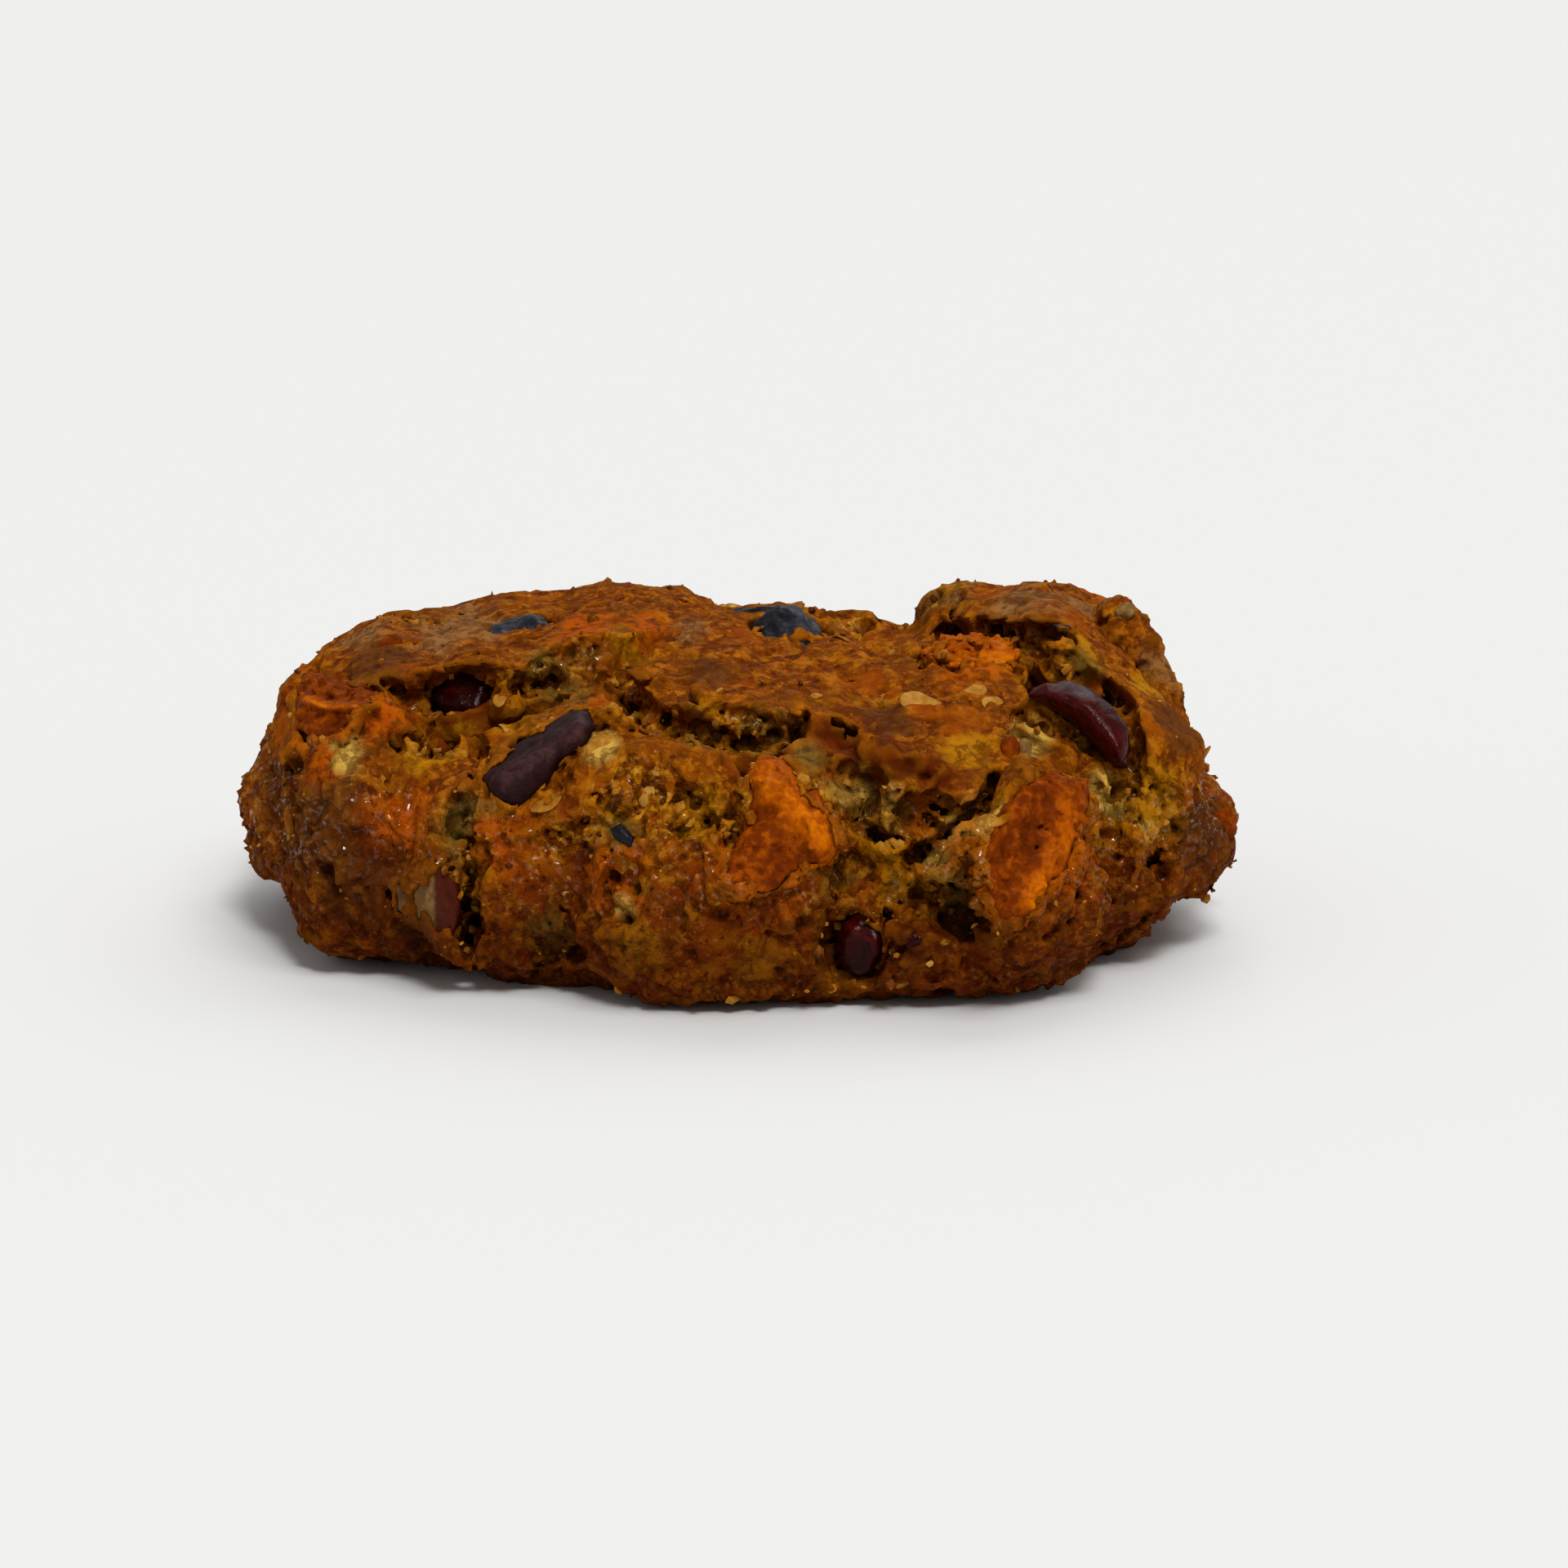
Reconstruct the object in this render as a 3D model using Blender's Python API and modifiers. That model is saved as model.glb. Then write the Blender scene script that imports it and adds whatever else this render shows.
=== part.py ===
"""A thick, rough oatmeal cookie baked with dried fruit and nuts, at its real size.

The dough is one solid: a flat-topped mound with raised crust slabs, and deep cracks between them. Each
piece of fruit or nut that is as large as a berry is a solid of its own, seated in a pocket of the dough.
+Z is up, the table is at Z = 0, and the front of the cookie faces -Y.
"""

import math

import bmesh
import bpy
from mathutils import Euler, Matrix, Vector, noise
from mathutils.bvhtree import BVHTree

MM = 0.001

# The mound is round like a puck. These are the radii of its outline at the widest level, every 30 degrees
# from the right towards the back, and the heights of its top at even steps from the left to the right.
OUTLINE = (35.8, 36.2, 34.4, 32.4, 33.4, 36.4, 36.6, 32.6, 30.0, 32.2, 34.6, 35.4)
TOP_HEIGHTS = (18.0, 19.8, 21.0, 21.6, 22.4, 22.0, 21.4, 21.4, 22.0, 22.0, 20.0)
TOP_REACH = 38.0 * MM
WIDEST_LEVEL = 8.6 * MM
FALL = 16.0 * MM
TOP_SQUARENESS = 3.0
FOOT_SQUARENESS = 2.4
LUMP_HEIGHT = 1.3 * MM
LUMP_SPACING = 8.0 * MM
SLAB_SQUARENESS = 3.0
SLAB_UNEVENNESS = 0.11
SLAB_LUMP_SPACING = 4.5 * MM

# The front of the cookie is laid out as it is seen from a little above the table.
VIEW_ELEVATION = math.radians(12)
VIEW_DISTANCE = 500 * MM
VIEW_CENTRE = Vector((3.5, 0.0, 11.2)) * MM

# How finely the dough is worked, and the room round each piece of fruit.
DOUGH_VOXEL = 0.75 * MM
DOUGH_KEPT = 0.044
SEAT_GAP = 0.42 * MM
TABLE_SIZE = 120 * MM

# Cracks are flattened tubes: how many sides they have, how far apart their rings are, how far they stand
# out of the surface, how much their width wanders and over what length, and how thin and how blunt they end.
TUBE_SIDES = 8
CRACK_STEP = 1.6 * MM
CRACK_STANDS_OUT = 1.2 * MM
CRACK_WANDER = 0.25
CRACK_WANDER_LENGTH = 3 * MM
CRACK_END_WIDTH = 0.12
CRACK_END_BLUNTNESS = 0.45

# Fruit is narrower at one end, wrinkled at that spacing, and turned partly towards whoever sees it.
FRUIT_TAPER = 0.16
WRINKLE_SPACING = 2.6 * MM
TOWARDS_VIEWER = 0.5

# Raised slabs and lumps of crust: centre (x, y, z), half sizes, tilts about X and Y and turn about Z in degrees.
SLABS = (
    ("upper_left", (-19.4, 4.0, 19.8), (17.4, 17.0, 4.3), (2, -9, -6)),
    ("left_shoulder", (-30.0, 5.0, 15.7), (8.0, 17.0, 6.2), (0, -32, 0)),
    ("left_foot", (-31.2, 3.0, 9.2), (8.8, 15.0, 6.2), (0, 0, 0)),
    ("centre_ledge", (-0.6, -7.4, 20.2), (12.6, 13.6, 3.6), (12, 3, 4)),
    ("right_ledge", (13.4, -15.6, 17.4), (13.2, 14.0, 3.8), (21, 2, -4)),
    ("right_cap", (23.6, 11.0, 20.6), (9.0, 15.0, 4.2), (-2, 4, 4)),
    ("right_brim", (26.2, -6.5, 18.8), (14.5, 7.0, 4.6), (-20, 12, -64)),
    ("right_shoulder", (27.0, 2.0, 18.2), (9.4, 13.0, 6.0), (0, 38, 0)),
    ("right_flank", (30.6, -2.0, 9.0), (8.3, 15.0, 5.4), (0, 6, 4)),
    ("right_front", (26.6, -13.0, 10.2), (8.6, 8.6, 8.0), (0, 6, 20)),
    ("left_knob", (-26.6, -13.8, 9.2), (9.0, 8.4, 9.0), (0, 0, 14)),
    ("left_brow", (-29.4, -9.4, 17.2), (7.4, 6.6, 4.0), (16, -22, 0)),
    ("front_left", (-15.6, -20.6, 9.2), (9.6, 8.0, 8.2), (0, 0, -8)),
    ("front_cap", (-6.6, -23.2, 16.6), (7.6, 6.4, 5.2), (22, 4, 0)),
    ("front_middle", (-2.0, -27.0, 7.9), (10.0, 6.9, 7.6), (0, 0, 0)),
    ("front_right", (16.4, -24.4, 8.2), (11.6, 8.8, 8.0), (0, 0, 8)),
    ("back_left", (-15.0, 19.0, 15.0), (14.0, 11.5, 7.0), (-18, -4, 10)),
    ("back_middle", (4.0, 20.5, 14.4), (11.0, 11.5, 7.6), (-14, 4, 0)),
    ("back_right", (20.0, 18.5, 11.5), (11.5, 11.0, 9.0), (-8, 6, -20)),
    ("back_foot", (-6.0, 24.0, 7.6), (17.0, 9.0, 6.8), (0, 0, 0)),
)

# Cracks: the side they are seen from in degrees, width, depth, lean under the slab above in degrees,
# and the points that they run through, in millimetres across and up from the middle of that view.
CRACKS = (
    ("left_crack", 0, 4.4, 7.0, 40, ((-33.5, 8.2), (-29.5, 7.0), (-26, 6.2), (-22.5, 7.0), (-19.6, 8.4), (-16.6, 9.2))),
    ("top_crack", 0, 3.6, 4.6, 10, ((-18.0, 9.6), (-14.9, 10.8), (-11.5, 12.2), (-9, 13.2))),
    ("ledge_crack", 0, 4.4, 7.0, 32, ((-13.4, 6.9), (-10.8, 6.2), (-7.6, 5.2), (-4.3, 4.4), (-0.9, 3.0), (1.7, 3.2))),
    ("nut_crack", 0, 2.2, 5.0, 0, ((-27.4, -1.0), (-26.0, -4.0), (-25.4, -7.3), (-25.9, -10.6), (-26.4, -13.5))),
    ("middle_crack", 0, 4.6, 7.0, 35, ((3.0, 2.0), (5.3, -2.0), (8.6, -3.4), (11.9, -3.3), (14.9, -1.7), (16.8, 0.4))),
    ("lower_crack", 0, 2.0, 3.2, 0, ((8.6, -7.0), (10.8, -9.0), (13.0, -10.8), (14.2, -13.0))),
    ("great_crack", 0, 4.2, 8.5, 25, ((10.9, 14.4), (15.2, 12.6), (19.5, 10.8), (23.4, 8.4), (26.8, 5.3), (28.2, 1.6), (27.0, -2))),
    ("cranberry_hole", 0, 5.0, 5.0, 0, ((4.7, -11.4), (5.4, -13.3), (4.2, -15.4))),
    ("side_pit", 0, 2.0, 3.6, 0, ((-4.9, -3.9), (-3.6, -1.6))),
    ("corner_groove", 0, 2.8, 3.4, 0, ((28.7, -5.0), (30.7, -6.6), (31.9, -8.6))),
    ("left_groove", 0, 2.2, 3.0, 0, ((-38.0, 0.7), (-38.2, -2.0), (-38.0, -4.6))),
    ("back_crack", 180, 4.0, 7.0, 35, ((-27, 5.0), (-20, 7.6), (-13, 6.0), (-6, 7.8), (1, 5.2), (8, 6.6))),
    ("back_split", 180, 2.8, 4.5, 0, ((1, 5.0), (2.5, 0.5), (0.5, -4.5), (2.0, -9.0))),
    ("back_edge", 180, 3.6, 6.0, 30, ((13, -2.0), (19, 0.5), (25, -1.0), (30, 1.6))),
    ("left_side", 270, 3.2, 5.5, 25, ((-14, 4.2), (-6, 1.6), (2, 3.0), (9, 0.8))),
    ("right_side", 90, 3.2, 5.5, 25, ((-11, 1.5), (-4, 4.0), (4, 2.0), (12, 4.8))),
)

# Fruit and nuts: kind, the side they are seen from in degrees, where they are seen in millimetres across
# and up from the middle of that view, length, width and thickness, turn in degrees, how deep the middle
# lies, and how strongly the piece bends along its length.
PIECES = (
    ("raisin_left", "raisin", 0, (-20.2, 1.9), (12.4, 6.0, 5.2), 42, 0.5, 0.16),
    ("cranberry_right", "cranberry", 0, (24.0, 5.2), (11.0, 6.0, 5.6), -38, 1.5, 0.16),
    ("raisin_top", "raisin", 0, (0.7, 12.7), (6.4, 7.0, 4.2), 0, 2.0, 0.05),
    ("apricot_middle", "apricot", 0, (-0.3, -4.0), (12.4, 8.8, 4.6), 68, 1.1, 0.05),
    ("apricot_right", "apricot", 0, (20.3, -5.3), (12.6, 8.8, 4.6), 76, 1.1, 0.04),
    ("almond_left", "almond", 0, (-28.6, -10.2), (7.2, 5.0, 4.6), 82, 0.8, 0.0),
    ("cranberry_low", "cranberry", 0, (5.7, -13.2), (5.2, 4.2, 4.0), 75, 2.4, 0.0),
    ("cranberry_hollow", "cranberry", 0, (-25.4, 7.4), (6.4, 4.6, 4.0), 15, 3.0, 0.0),
    ("raisin_upper", "raisin", 0, (-21.7, 13.2), (6.2, 5.2, 3.6), 30, 1.6, 0.05),
    ("apricot_upper", "apricot", 0, (-35.2, 5.8), (7.6, 6.2, 4.2), 10, 1.3, 0.03),
    ("apricot_slope", "apricot", 0, (15.4, 10.5), (7.4, 6.0, 4.0), -8, 1.3, 0.03),
    ("apricot_back", "apricot", 180, (-12.0, -3.0), (11.5, 8.0, 4.4), 35, 1.0, 0.05),
    ("cranberry_back", "cranberry", 180, (14.5, 3.6), (9.6, 6.0, 5.0), 15, 1.3, 0.10),
    ("raisin_back", "raisin", 180, (8.6, -6.4), (9.0, 5.4, 4.6), -30, 0.9, 0.10),
    ("almond_back", "almond", 180, (-24.5, 0.6), (8.0, 5.2, 4.4), -60, 0.9, 0.0),
    ("apricot_side", "apricot", 270, (-19.0, -5.5), (9.4, 6.6, 4.2), 100, 1.8, 0.04),
    ("cranberry_side", "cranberry", 90, (14.0, -5.0), (8.4, 5.2, 4.8), 20, 1.8, 0.08),
    ("raisin_crown", "raisin", 180, (-5.0, 10.0), (7.6, 7.6, 4.2), 25, 1.4, 0.05),
)

# Kind of piece: colour, roughness, how square its outline is, and the height of its wrinkles.
KINDS = {
    "raisin": ((0.045, 0.022, 0.028), 0.50, 2.3, 0.55 * MM),
    "cranberry": ((0.060, 0.004, 0.003), 0.22, 2.1, 0.35 * MM),
    "apricot": ((0.420, 0.110, 0.004), 0.50, 3.4, 1.10 * MM),
    "almond": ((0.260, 0.150, 0.060), 0.55, 3.0, 0.40 * MM),
}
DOUGH_COLOUR = (0.160, 0.055, 0.008)
DOUGH_ROUGHNESS = 0.7


def clear_scene():
    for old in list(bpy.data.objects):
        bpy.data.objects.remove(old)


def make_collection(name, hidden=False):
    made = bpy.data.collections.new(name)
    made.hide_render = hidden
    bpy.context.scene.collection.children.link(made)
    return made


def make_material(name, colour, roughness):
    material = bpy.data.materials.new(name)
    material.use_nodes = True
    shader = material.node_tree.nodes["Principled BSDF"]
    shader.inputs["Base Color"].default_value = (*colour, 1.0)
    shader.inputs["Roughness"].default_value = roughness
    shader.inputs["Metallic"].default_value = 0.0
    return material


def make_object(name, shape, collection, material=None):
    """Turns a bmesh into an object of that collection."""
    mesh = bpy.data.meshes.new(name)
    shape.to_mesh(mesh)
    shape.free()
    made = bpy.data.objects.new(name, mesh)
    if material:
        mesh.materials.append(material)
    collection.objects.link(made)
    return made


def squared(value, squareness):
    """The superellipse's form of a sine or cosine: 2 leaves it round, and more makes it square."""
    return math.copysign(abs(value) ** (2 / squareness), value)


def smooth_value(values, place):
    """The value at that place on a smooth curve through evenly spaced values, which repeat at their ends."""
    count = len(values)
    start = math.floor(place)
    t = place - start
    before, first, second, after = (values[(start + step) % count] for step in (-1, 0, 1, 2))
    slope = (second - before) / 2
    next_slope = (after - first) / 2
    return (
        first * (2 * t**3 - 3 * t**2 + 1) + slope * (t**3 - 2 * t**2 + t)
        + second * (3 * t**2 - 2 * t**3) + next_slope * (t**3 - t**2)
    )


def on_mound(direction):
    """Where the mound's surface lies in that direction from its widest level."""
    around = math.atan2(direction.y, direction.x)
    squareness = TOP_SQUARENESS if direction.z > 0 else FOOT_SQUARENESS
    outwards = squared(math.hypot(direction.x, direction.y), squareness)
    radius = smooth_value(OUTLINE, (around / (2 * math.pi)) * len(OUTLINE)) * MM * outwards
    x = radius * math.cos(around)
    steps = len(TOP_HEIGHTS) - 1
    place = min(max((x / TOP_REACH + 1) / 2, 0), 1) * (steps - 2) + 1
    rise = smooth_value(TOP_HEIGHTS, place) * MM - WIDEST_LEVEL
    height = squared(direction.z, squareness) * (rise if direction.z > 0 else FALL)
    return Vector((x, radius * math.sin(around), WIDEST_LEVEL + height))


def mound_shape():
    shape = bmesh.new()
    bmesh.ops.create_uvsphere(shape, u_segments=72, v_segments=40, radius=1.0)
    for vertex in shape.verts:
        outward = vertex.co.normalized()
        at = on_mound(outward)
        vertex.co = at + outward * LUMP_HEIGHT * noise.noise(at / LUMP_SPACING)
    return shape


def add_slab(shape, centre, half_sizes, angles):
    """Adds a flattened lump with a rather square edge to the shape."""
    turn = Euler([math.radians(angle) for angle in angles], "XYZ").to_matrix()
    middle = Vector(centre) * MM
    made = bmesh.ops.create_icosphere(shape, subdivisions=4, radius=1.0)["verts"]
    for vertex in made:
        unit = vertex.co.normalized()
        reach = sum(abs(axis) ** SLAB_SQUARENESS for axis in unit) ** (-1 / SLAB_SQUARENESS)
        at = Vector(axis * reach * half * MM for axis, half in zip(unit, half_sizes, strict=True))
        at *= 1 + SLAB_UNEVENNESS * noise.noise((at + middle) / SLAB_LUMP_SPACING)
        vertex.co = middle + turn @ at


def line_of_sight(across, up, side):
    """The eye and its direction, for what is seen that far from the middle of the view from that side."""
    turn = Matrix.Rotation(math.radians(side), 3, "Z")
    back = Vector((0, -math.cos(VIEW_ELEVATION), math.sin(VIEW_ELEVATION)))
    rise = Vector((0, math.sin(VIEW_ELEVATION), math.cos(VIEW_ELEVATION)))
    target = VIEW_CENTRE + Vector((across * MM, 0, 0)) + rise * up * MM
    eye = VIEW_CENTRE + back * VIEW_DISTANCE
    return turn @ eye, turn @ (target - eye).normalized()


def seen_on(tree, across, up, side):
    """The point of the surface that is seen there, and its outward normal."""
    eye, direction = line_of_sight(across, up, side)
    at, normal, _, _ = tree.ray_cast(eye, direction)
    if at is None:
        at, normal, _, _ = tree.find_nearest(eye + direction * VIEW_DISTANCE)
    return at, normal


def smooth_path(points):
    """Points close together on a smooth curve through the given ones."""
    ends = [2 * points[0] - points[1], *points, 2 * points[-1] - points[-2]]
    path = []
    for i in range(1, len(ends) - 2):
        before, start, end, after = ends[i - 1 : i + 3]
        steps = max(2, round((end - start).length / CRACK_STEP))
        for step in range(steps):
            t = step / steps
            path.append(0.5 * (
                2 * start + (end - before) * t
                + (2 * before - 5 * start + 4 * end - after) * t**2
                + (3 * start - before - 3 * end + after) * t**3
            ))
    return [*path, points[-1]]


def crack_shape(tree, width, depth, lean, points, side):
    """A flattened tube that follows the surface, to be cut out of it: deep, narrow, and thin at its ends."""
    seen = [seen_on(tree, across, up, side) for across, up in points]
    path = smooth_path([at for at, _ in seen])
    half_width = width * MM / 2
    half_depth = (depth * MM + CRACK_STANDS_OUT) / 2
    shape = bmesh.new()
    rings = []
    for i, at in enumerate(path):
        share = i / (len(path) - 1)
        along = (path[min(i + 1, len(path) - 1)] - path[max(i - 1, 0)]).normalized()
        _, normal, _, _ = tree.find_nearest(at)
        outward = Matrix.Rotation(-math.radians(lean), 3, along) @ normal
        sideways = along.cross(outward).normalized()
        outward = sideways.cross(along)
        taper = max(CRACK_END_WIDTH, math.sin(math.pi * share)) ** CRACK_END_BLUNTNESS
        wander = 1 + CRACK_WANDER * noise.noise(at / CRACK_WANDER_LENGTH)
        middle = at - outward * (half_depth - CRACK_STANDS_OUT)
        ring = []
        for corner in range(TUBE_SIDES):
            angle = 2 * math.pi * corner / TUBE_SIDES
            offset = sideways * math.cos(angle) * half_width * wander + outward * math.sin(angle) * half_depth
            ring.append(shape.verts.new(middle + offset * taper))
        rings.append(ring)
    for first, second in zip(rings, rings[1:], strict=False):
        for corner in range(TUBE_SIDES):
            after = (corner + 1) % TUBE_SIDES
            shape.faces.new((first[corner], first[after], second[after], second[corner]))
    shape.faces.new(reversed(rings[0]))
    shape.faces.new(rings[-1])
    bmesh.ops.recalc_face_normals(shape, faces=shape.faces)
    return shape


def piece_shape(kind, size, bend, seed):
    """A piece of fruit or nut, lying along X with its upper side towards +Z."""
    _, _, squareness, wrinkle = KINDS[kind]
    half = [0.5 * axis * MM for axis in size]
    shape = bmesh.new()
    bmesh.ops.create_uvsphere(shape, u_segments=12, v_segments=7, radius=1.0)
    for vertex in shape.verts:
        unit = vertex.co.normalized()
        reach = sum(abs(axis) ** squareness for axis in unit) ** (-1 / squareness)
        at = Vector(axis * reach * extent for axis, extent in zip(unit, half, strict=True))
        along = at.x / half[0]
        at.y = at.y * (1 - FRUIT_TAPER * along) + bend * half[0] * (0.5 - along**2)
        vertex.co = at + unit * wrinkle * noise.noise(at / WRINKLE_SPACING + Vector((seed, 0, 0)))
    return shape


def place_piece(tree, seen, side, turn, sink):
    """The matrix that seats a piece in the surface, turned in the plane that the viewer sees."""
    at, normal = seen_on(tree, *seen, side)
    _, direction = line_of_sight(*seen, side)
    facing = (normal - TOWARDS_VIEWER * direction).normalized()
    across = Matrix.Rotation(math.radians(side), 3, "Z") @ Vector((1, 0, 0))
    rise = facing.cross(across).normalized()
    across = rise.cross(facing)
    angle = math.radians(turn)
    along = across * math.cos(angle) + rise * math.sin(angle)
    beside = facing.cross(along)
    middle = at - facing * sink * MM
    matrix = Matrix((along, beside, facing)).transposed().to_4x4()
    matrix.translation = middle
    return matrix


def add_modifier(target, name, kind, **settings):
    modifier = target.modifiers.new(name, kind)
    for setting, value in settings.items():
        setattr(modifier, setting, value)
    return modifier


def surface_tree(target):
    """A search tree of the object's surface as it is now."""
    return BVHTree.FromObject(target, bpy.context.evaluated_depsgraph_get())


def as_cutter(target):
    target.hide_render = True
    target.display_type = "WIRE"
    return target


def make_fruit(tree, parts, pockets):
    """Every piece of fruit and nut, and for each a slightly larger copy that cuts its pocket."""
    materials = {
        kind: make_material(kind, colour, roughness)
        for kind, (colour, roughness, _, _) in KINDS.items()
    }
    for number, (name, kind, side, seen, size, turn, sink, bend) in enumerate(PIECES):
        piece = make_object(name, piece_shape(kind, size, bend, number), parts, materials[kind])
        piece.matrix_world = place_piece(tree, seen, side, turn, sink)
        piece.data.shade_smooth()
        pocket = bmesh.new()
        pocket.from_mesh(piece.data)
        for vertex in pocket.verts:
            vertex.co += vertex.normal * SEAT_GAP
        cutter = as_cutter(make_object("pocket_" + name, pocket, pockets))
        cutter.matrix_world = piece.matrix_world


def make_dough(parts, cutters):
    """The dough before its pockets: the mound and its slabs made one, and the cracks cut out."""
    shape = mound_shape()
    for _, centre, half_sizes, tilts in SLABS:
        add_slab(shape, centre, half_sizes, tilts)
    material = make_material("dough", DOUGH_COLOUR, DOUGH_ROUGHNESS)
    dough = make_object("dough", shape, parts, material)
    add_modifier(dough, "join_slabs", "REMESH", mode="VOXEL", voxel_size=DOUGH_VOXEL)
    tree = surface_tree(dough)
    for name, side, width, depth, lean, points in CRACKS:
        as_cutter(make_object(name, crack_shape(tree, width, depth, lean, points, side), cutters))
    add_modifier(dough, "cut_cracks", "BOOLEAN", operand_type="COLLECTION", collection=cutters)
    add_modifier(dough, "even_out", "REMESH", mode="VOXEL", voxel_size=DOUGH_VOXEL)
    add_modifier(dough, "soften", "SMOOTH", factor=0.5, iterations=3)
    add_modifier(dough, "thin_out", "DECIMATE", ratio=DOUGH_KEPT)
    return dough, tree


def table_block(cutters):
    """A block under the table's surface, which cuts the foot of the dough flat."""
    shape = bmesh.new()
    bmesh.ops.create_cube(shape, size=TABLE_SIZE, matrix=Matrix.Translation((0, 0, -TABLE_SIZE / 2)))
    return as_cutter(make_object("table_block", shape, cutters))


def centre_over_origin(parts, movers):
    """Moves everything sideways so that the middle of the cookie's box stands over the origin."""
    bpy.context.view_layer.update()
    graph = bpy.context.evaluated_depsgraph_get()
    reached = []
    for part in parts.objects:
        evaluated = part.evaluated_get(graph)
        reached.extend(evaluated.matrix_world @ vertex.co for vertex in evaluated.data.vertices)
    for axis in (0, 1):
        values = [at[axis] for at in reached]
        for mover in movers:
            mover.location[axis] -= (min(values) + max(values)) / 2


def main():
    clear_scene()
    parts = make_collection("oatmeal_cookie")
    cracks = make_collection("crack_cutters", hidden=True)
    pockets = make_collection("pocket_cutters", hidden=True)
    table = make_collection("table_cutter", hidden=True)
    dough, tree = make_dough(parts, cracks)
    make_fruit(tree, parts, pockets)
    add_modifier(dough, "cut_pockets", "BOOLEAN", operand_type="COLLECTION", collection=pockets)
    add_modifier(dough, "flatten_foot", "BOOLEAN", object=table_block(table))
    movers = [*parts.objects, *cracks.objects, *pockets.objects]
    centre_over_origin(parts, movers)


main()
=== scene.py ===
"""The looks of the oatmeal cookie: torn, porous dough, dried fruit, nuts, oat flakes and crumbs.

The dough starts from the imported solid. It is worked as a field of distances from its surface, so that its
lumps, pores and overhanging crusts are real shape, and then turned back into a mesh. Sizes are in
millimetres here, unless a name says otherwise, and each finished mesh is scaled to metres.
"""

import itertools
import math

import bmesh
import bpy
import numpy as np
import openvdb
from mathutils import Euler, Matrix, Vector
from mathutils.bvhtree import BVHTree


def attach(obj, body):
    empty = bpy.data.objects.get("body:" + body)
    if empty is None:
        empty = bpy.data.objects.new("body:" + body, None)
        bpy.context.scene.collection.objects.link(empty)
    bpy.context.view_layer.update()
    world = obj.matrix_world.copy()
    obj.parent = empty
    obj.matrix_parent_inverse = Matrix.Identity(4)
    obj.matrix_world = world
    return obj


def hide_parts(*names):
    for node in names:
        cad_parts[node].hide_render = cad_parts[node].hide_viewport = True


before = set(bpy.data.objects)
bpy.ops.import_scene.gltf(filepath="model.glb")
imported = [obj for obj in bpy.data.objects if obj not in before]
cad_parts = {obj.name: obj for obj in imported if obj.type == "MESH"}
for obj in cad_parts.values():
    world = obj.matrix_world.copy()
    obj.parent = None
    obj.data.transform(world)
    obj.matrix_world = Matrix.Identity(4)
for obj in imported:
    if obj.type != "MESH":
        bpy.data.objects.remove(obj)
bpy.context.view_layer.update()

MM = 0.001

# The photograph's view: level and distance of the camera, the point at the middle of the picture, and how
# wide the picture is there. Below, a place where something is seen is given in millimetres across and up
# from that middle.
VIEW_ELEVATION = math.radians(12)
VIEW_DISTANCE = 500.0
VIEW_CENTRE = Vector((3.95, 0.41, 11.2))
PICTURE_WIDTH = 126.8
SENSOR_WIDTH = 36.0

# How finely the dough and the fruit are worked, how many cells each side of a surface hold true distances,
# how much of that band is worked, the room left around a CAD solid, and the triangles that each may keep.
DOUGH_VOXEL = 0.26
FRUIT_VOXEL = 0.20
BAND_VOXELS = 9
BAND_SHARE = 0.95
GRID_ROOM = 6
DOUGH_TRIANGLES = 194000
FRUIT_TRIANGLES = 9000

# Where the random draws of each kind start.
SEEDS = {
    "shear": 11, "hidden_zones": 14, "step": 15, "lumps": 20, "crumb": 30, "grain": 40, "stamps": 51,
    "tint_spots": 60, "tint_edges": 70, "oats": 81, "crumbs": 82, "bits": 83, "coat": 91, "kept_coat": 92,
    "outline": 93, "cut_sides": 97,
}

# The dough: how far its skin is moved inwards to make room for crumb, its smooth lumps, its crumb and its
# grain, each as (spacing, height), how far the crumb is pushed sideways so that it overhangs, given as
# (spacing, push), and how near to the surface it is worked.
DOUGH_INSET = 0.25
DOUGH_LUMPS = ((6.0, 0.36), (2.9, 0.26))
DOUGH_CRUMB = ((2.3, 0.34), (1.2, 0.24))
DOUGH_GRAIN = ((1.15, 0.30), (0.70, 0.24))
DOUGH_SHEAR = (1.8, 0.6)
CRUMB_REACH = 1.5

# How much of the crumb's height the calm top, the sides and the torn parts have. The dough turns calm
# between two levels, and torn where two such shares of what lies around are dough.
TOP_SHARE = 0.45
FRONT_SHARE = 0.95
TORN_SHARE = 1.5
CALM_FROM = 12.0
CALM_TO = 19.0
TORN_FROM = 0.55
TORN_TO = 0.72

# The crust ends at a torn part in a ragged step, with a low lip along it.
STEP_DEPTH = 1.0
LIP_HEIGHT = 0.25
STEP_RAGGED = ((1.7, 0.30), (0.75, 0.18))

# Where the step, the two sides of the lip and the torn look begin and end, as shares of a zone's size.
STEP_SPAN = (1.10, 0.95)
LIP_OUTSIDE = (1.6, 1.15)
LIP_INSIDE = (1.00, 1.12)
TORN_SPAN = (1.15, 0.95)

# Random pores and grains of the dough: number, smallest and largest radius; how near to the surface their
# middles are; and above which share a place counts as torn for them.
CRUST_PORES = (2200, 0.16, 0.42)
TORN_PORES = (1800, 0.28, 0.80)
CRUST_GRAINS = (2600, 0.14, 0.30)
TORN_GRAINS = (1500, 0.20, 0.45)
SKIN_REACH = 0.25
TORN_ABOVE = 0.4

# Grains and pores are more often small than large, by that power; they are stretched, set off the surface
# and squared at random.
STAMP_POWER = 2.2
STAMP_STRETCH = (0.7, 1.25)
STAMP_WANDER = 0.10
STAMP_SQUARE = (2.0, 3.6)

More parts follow.
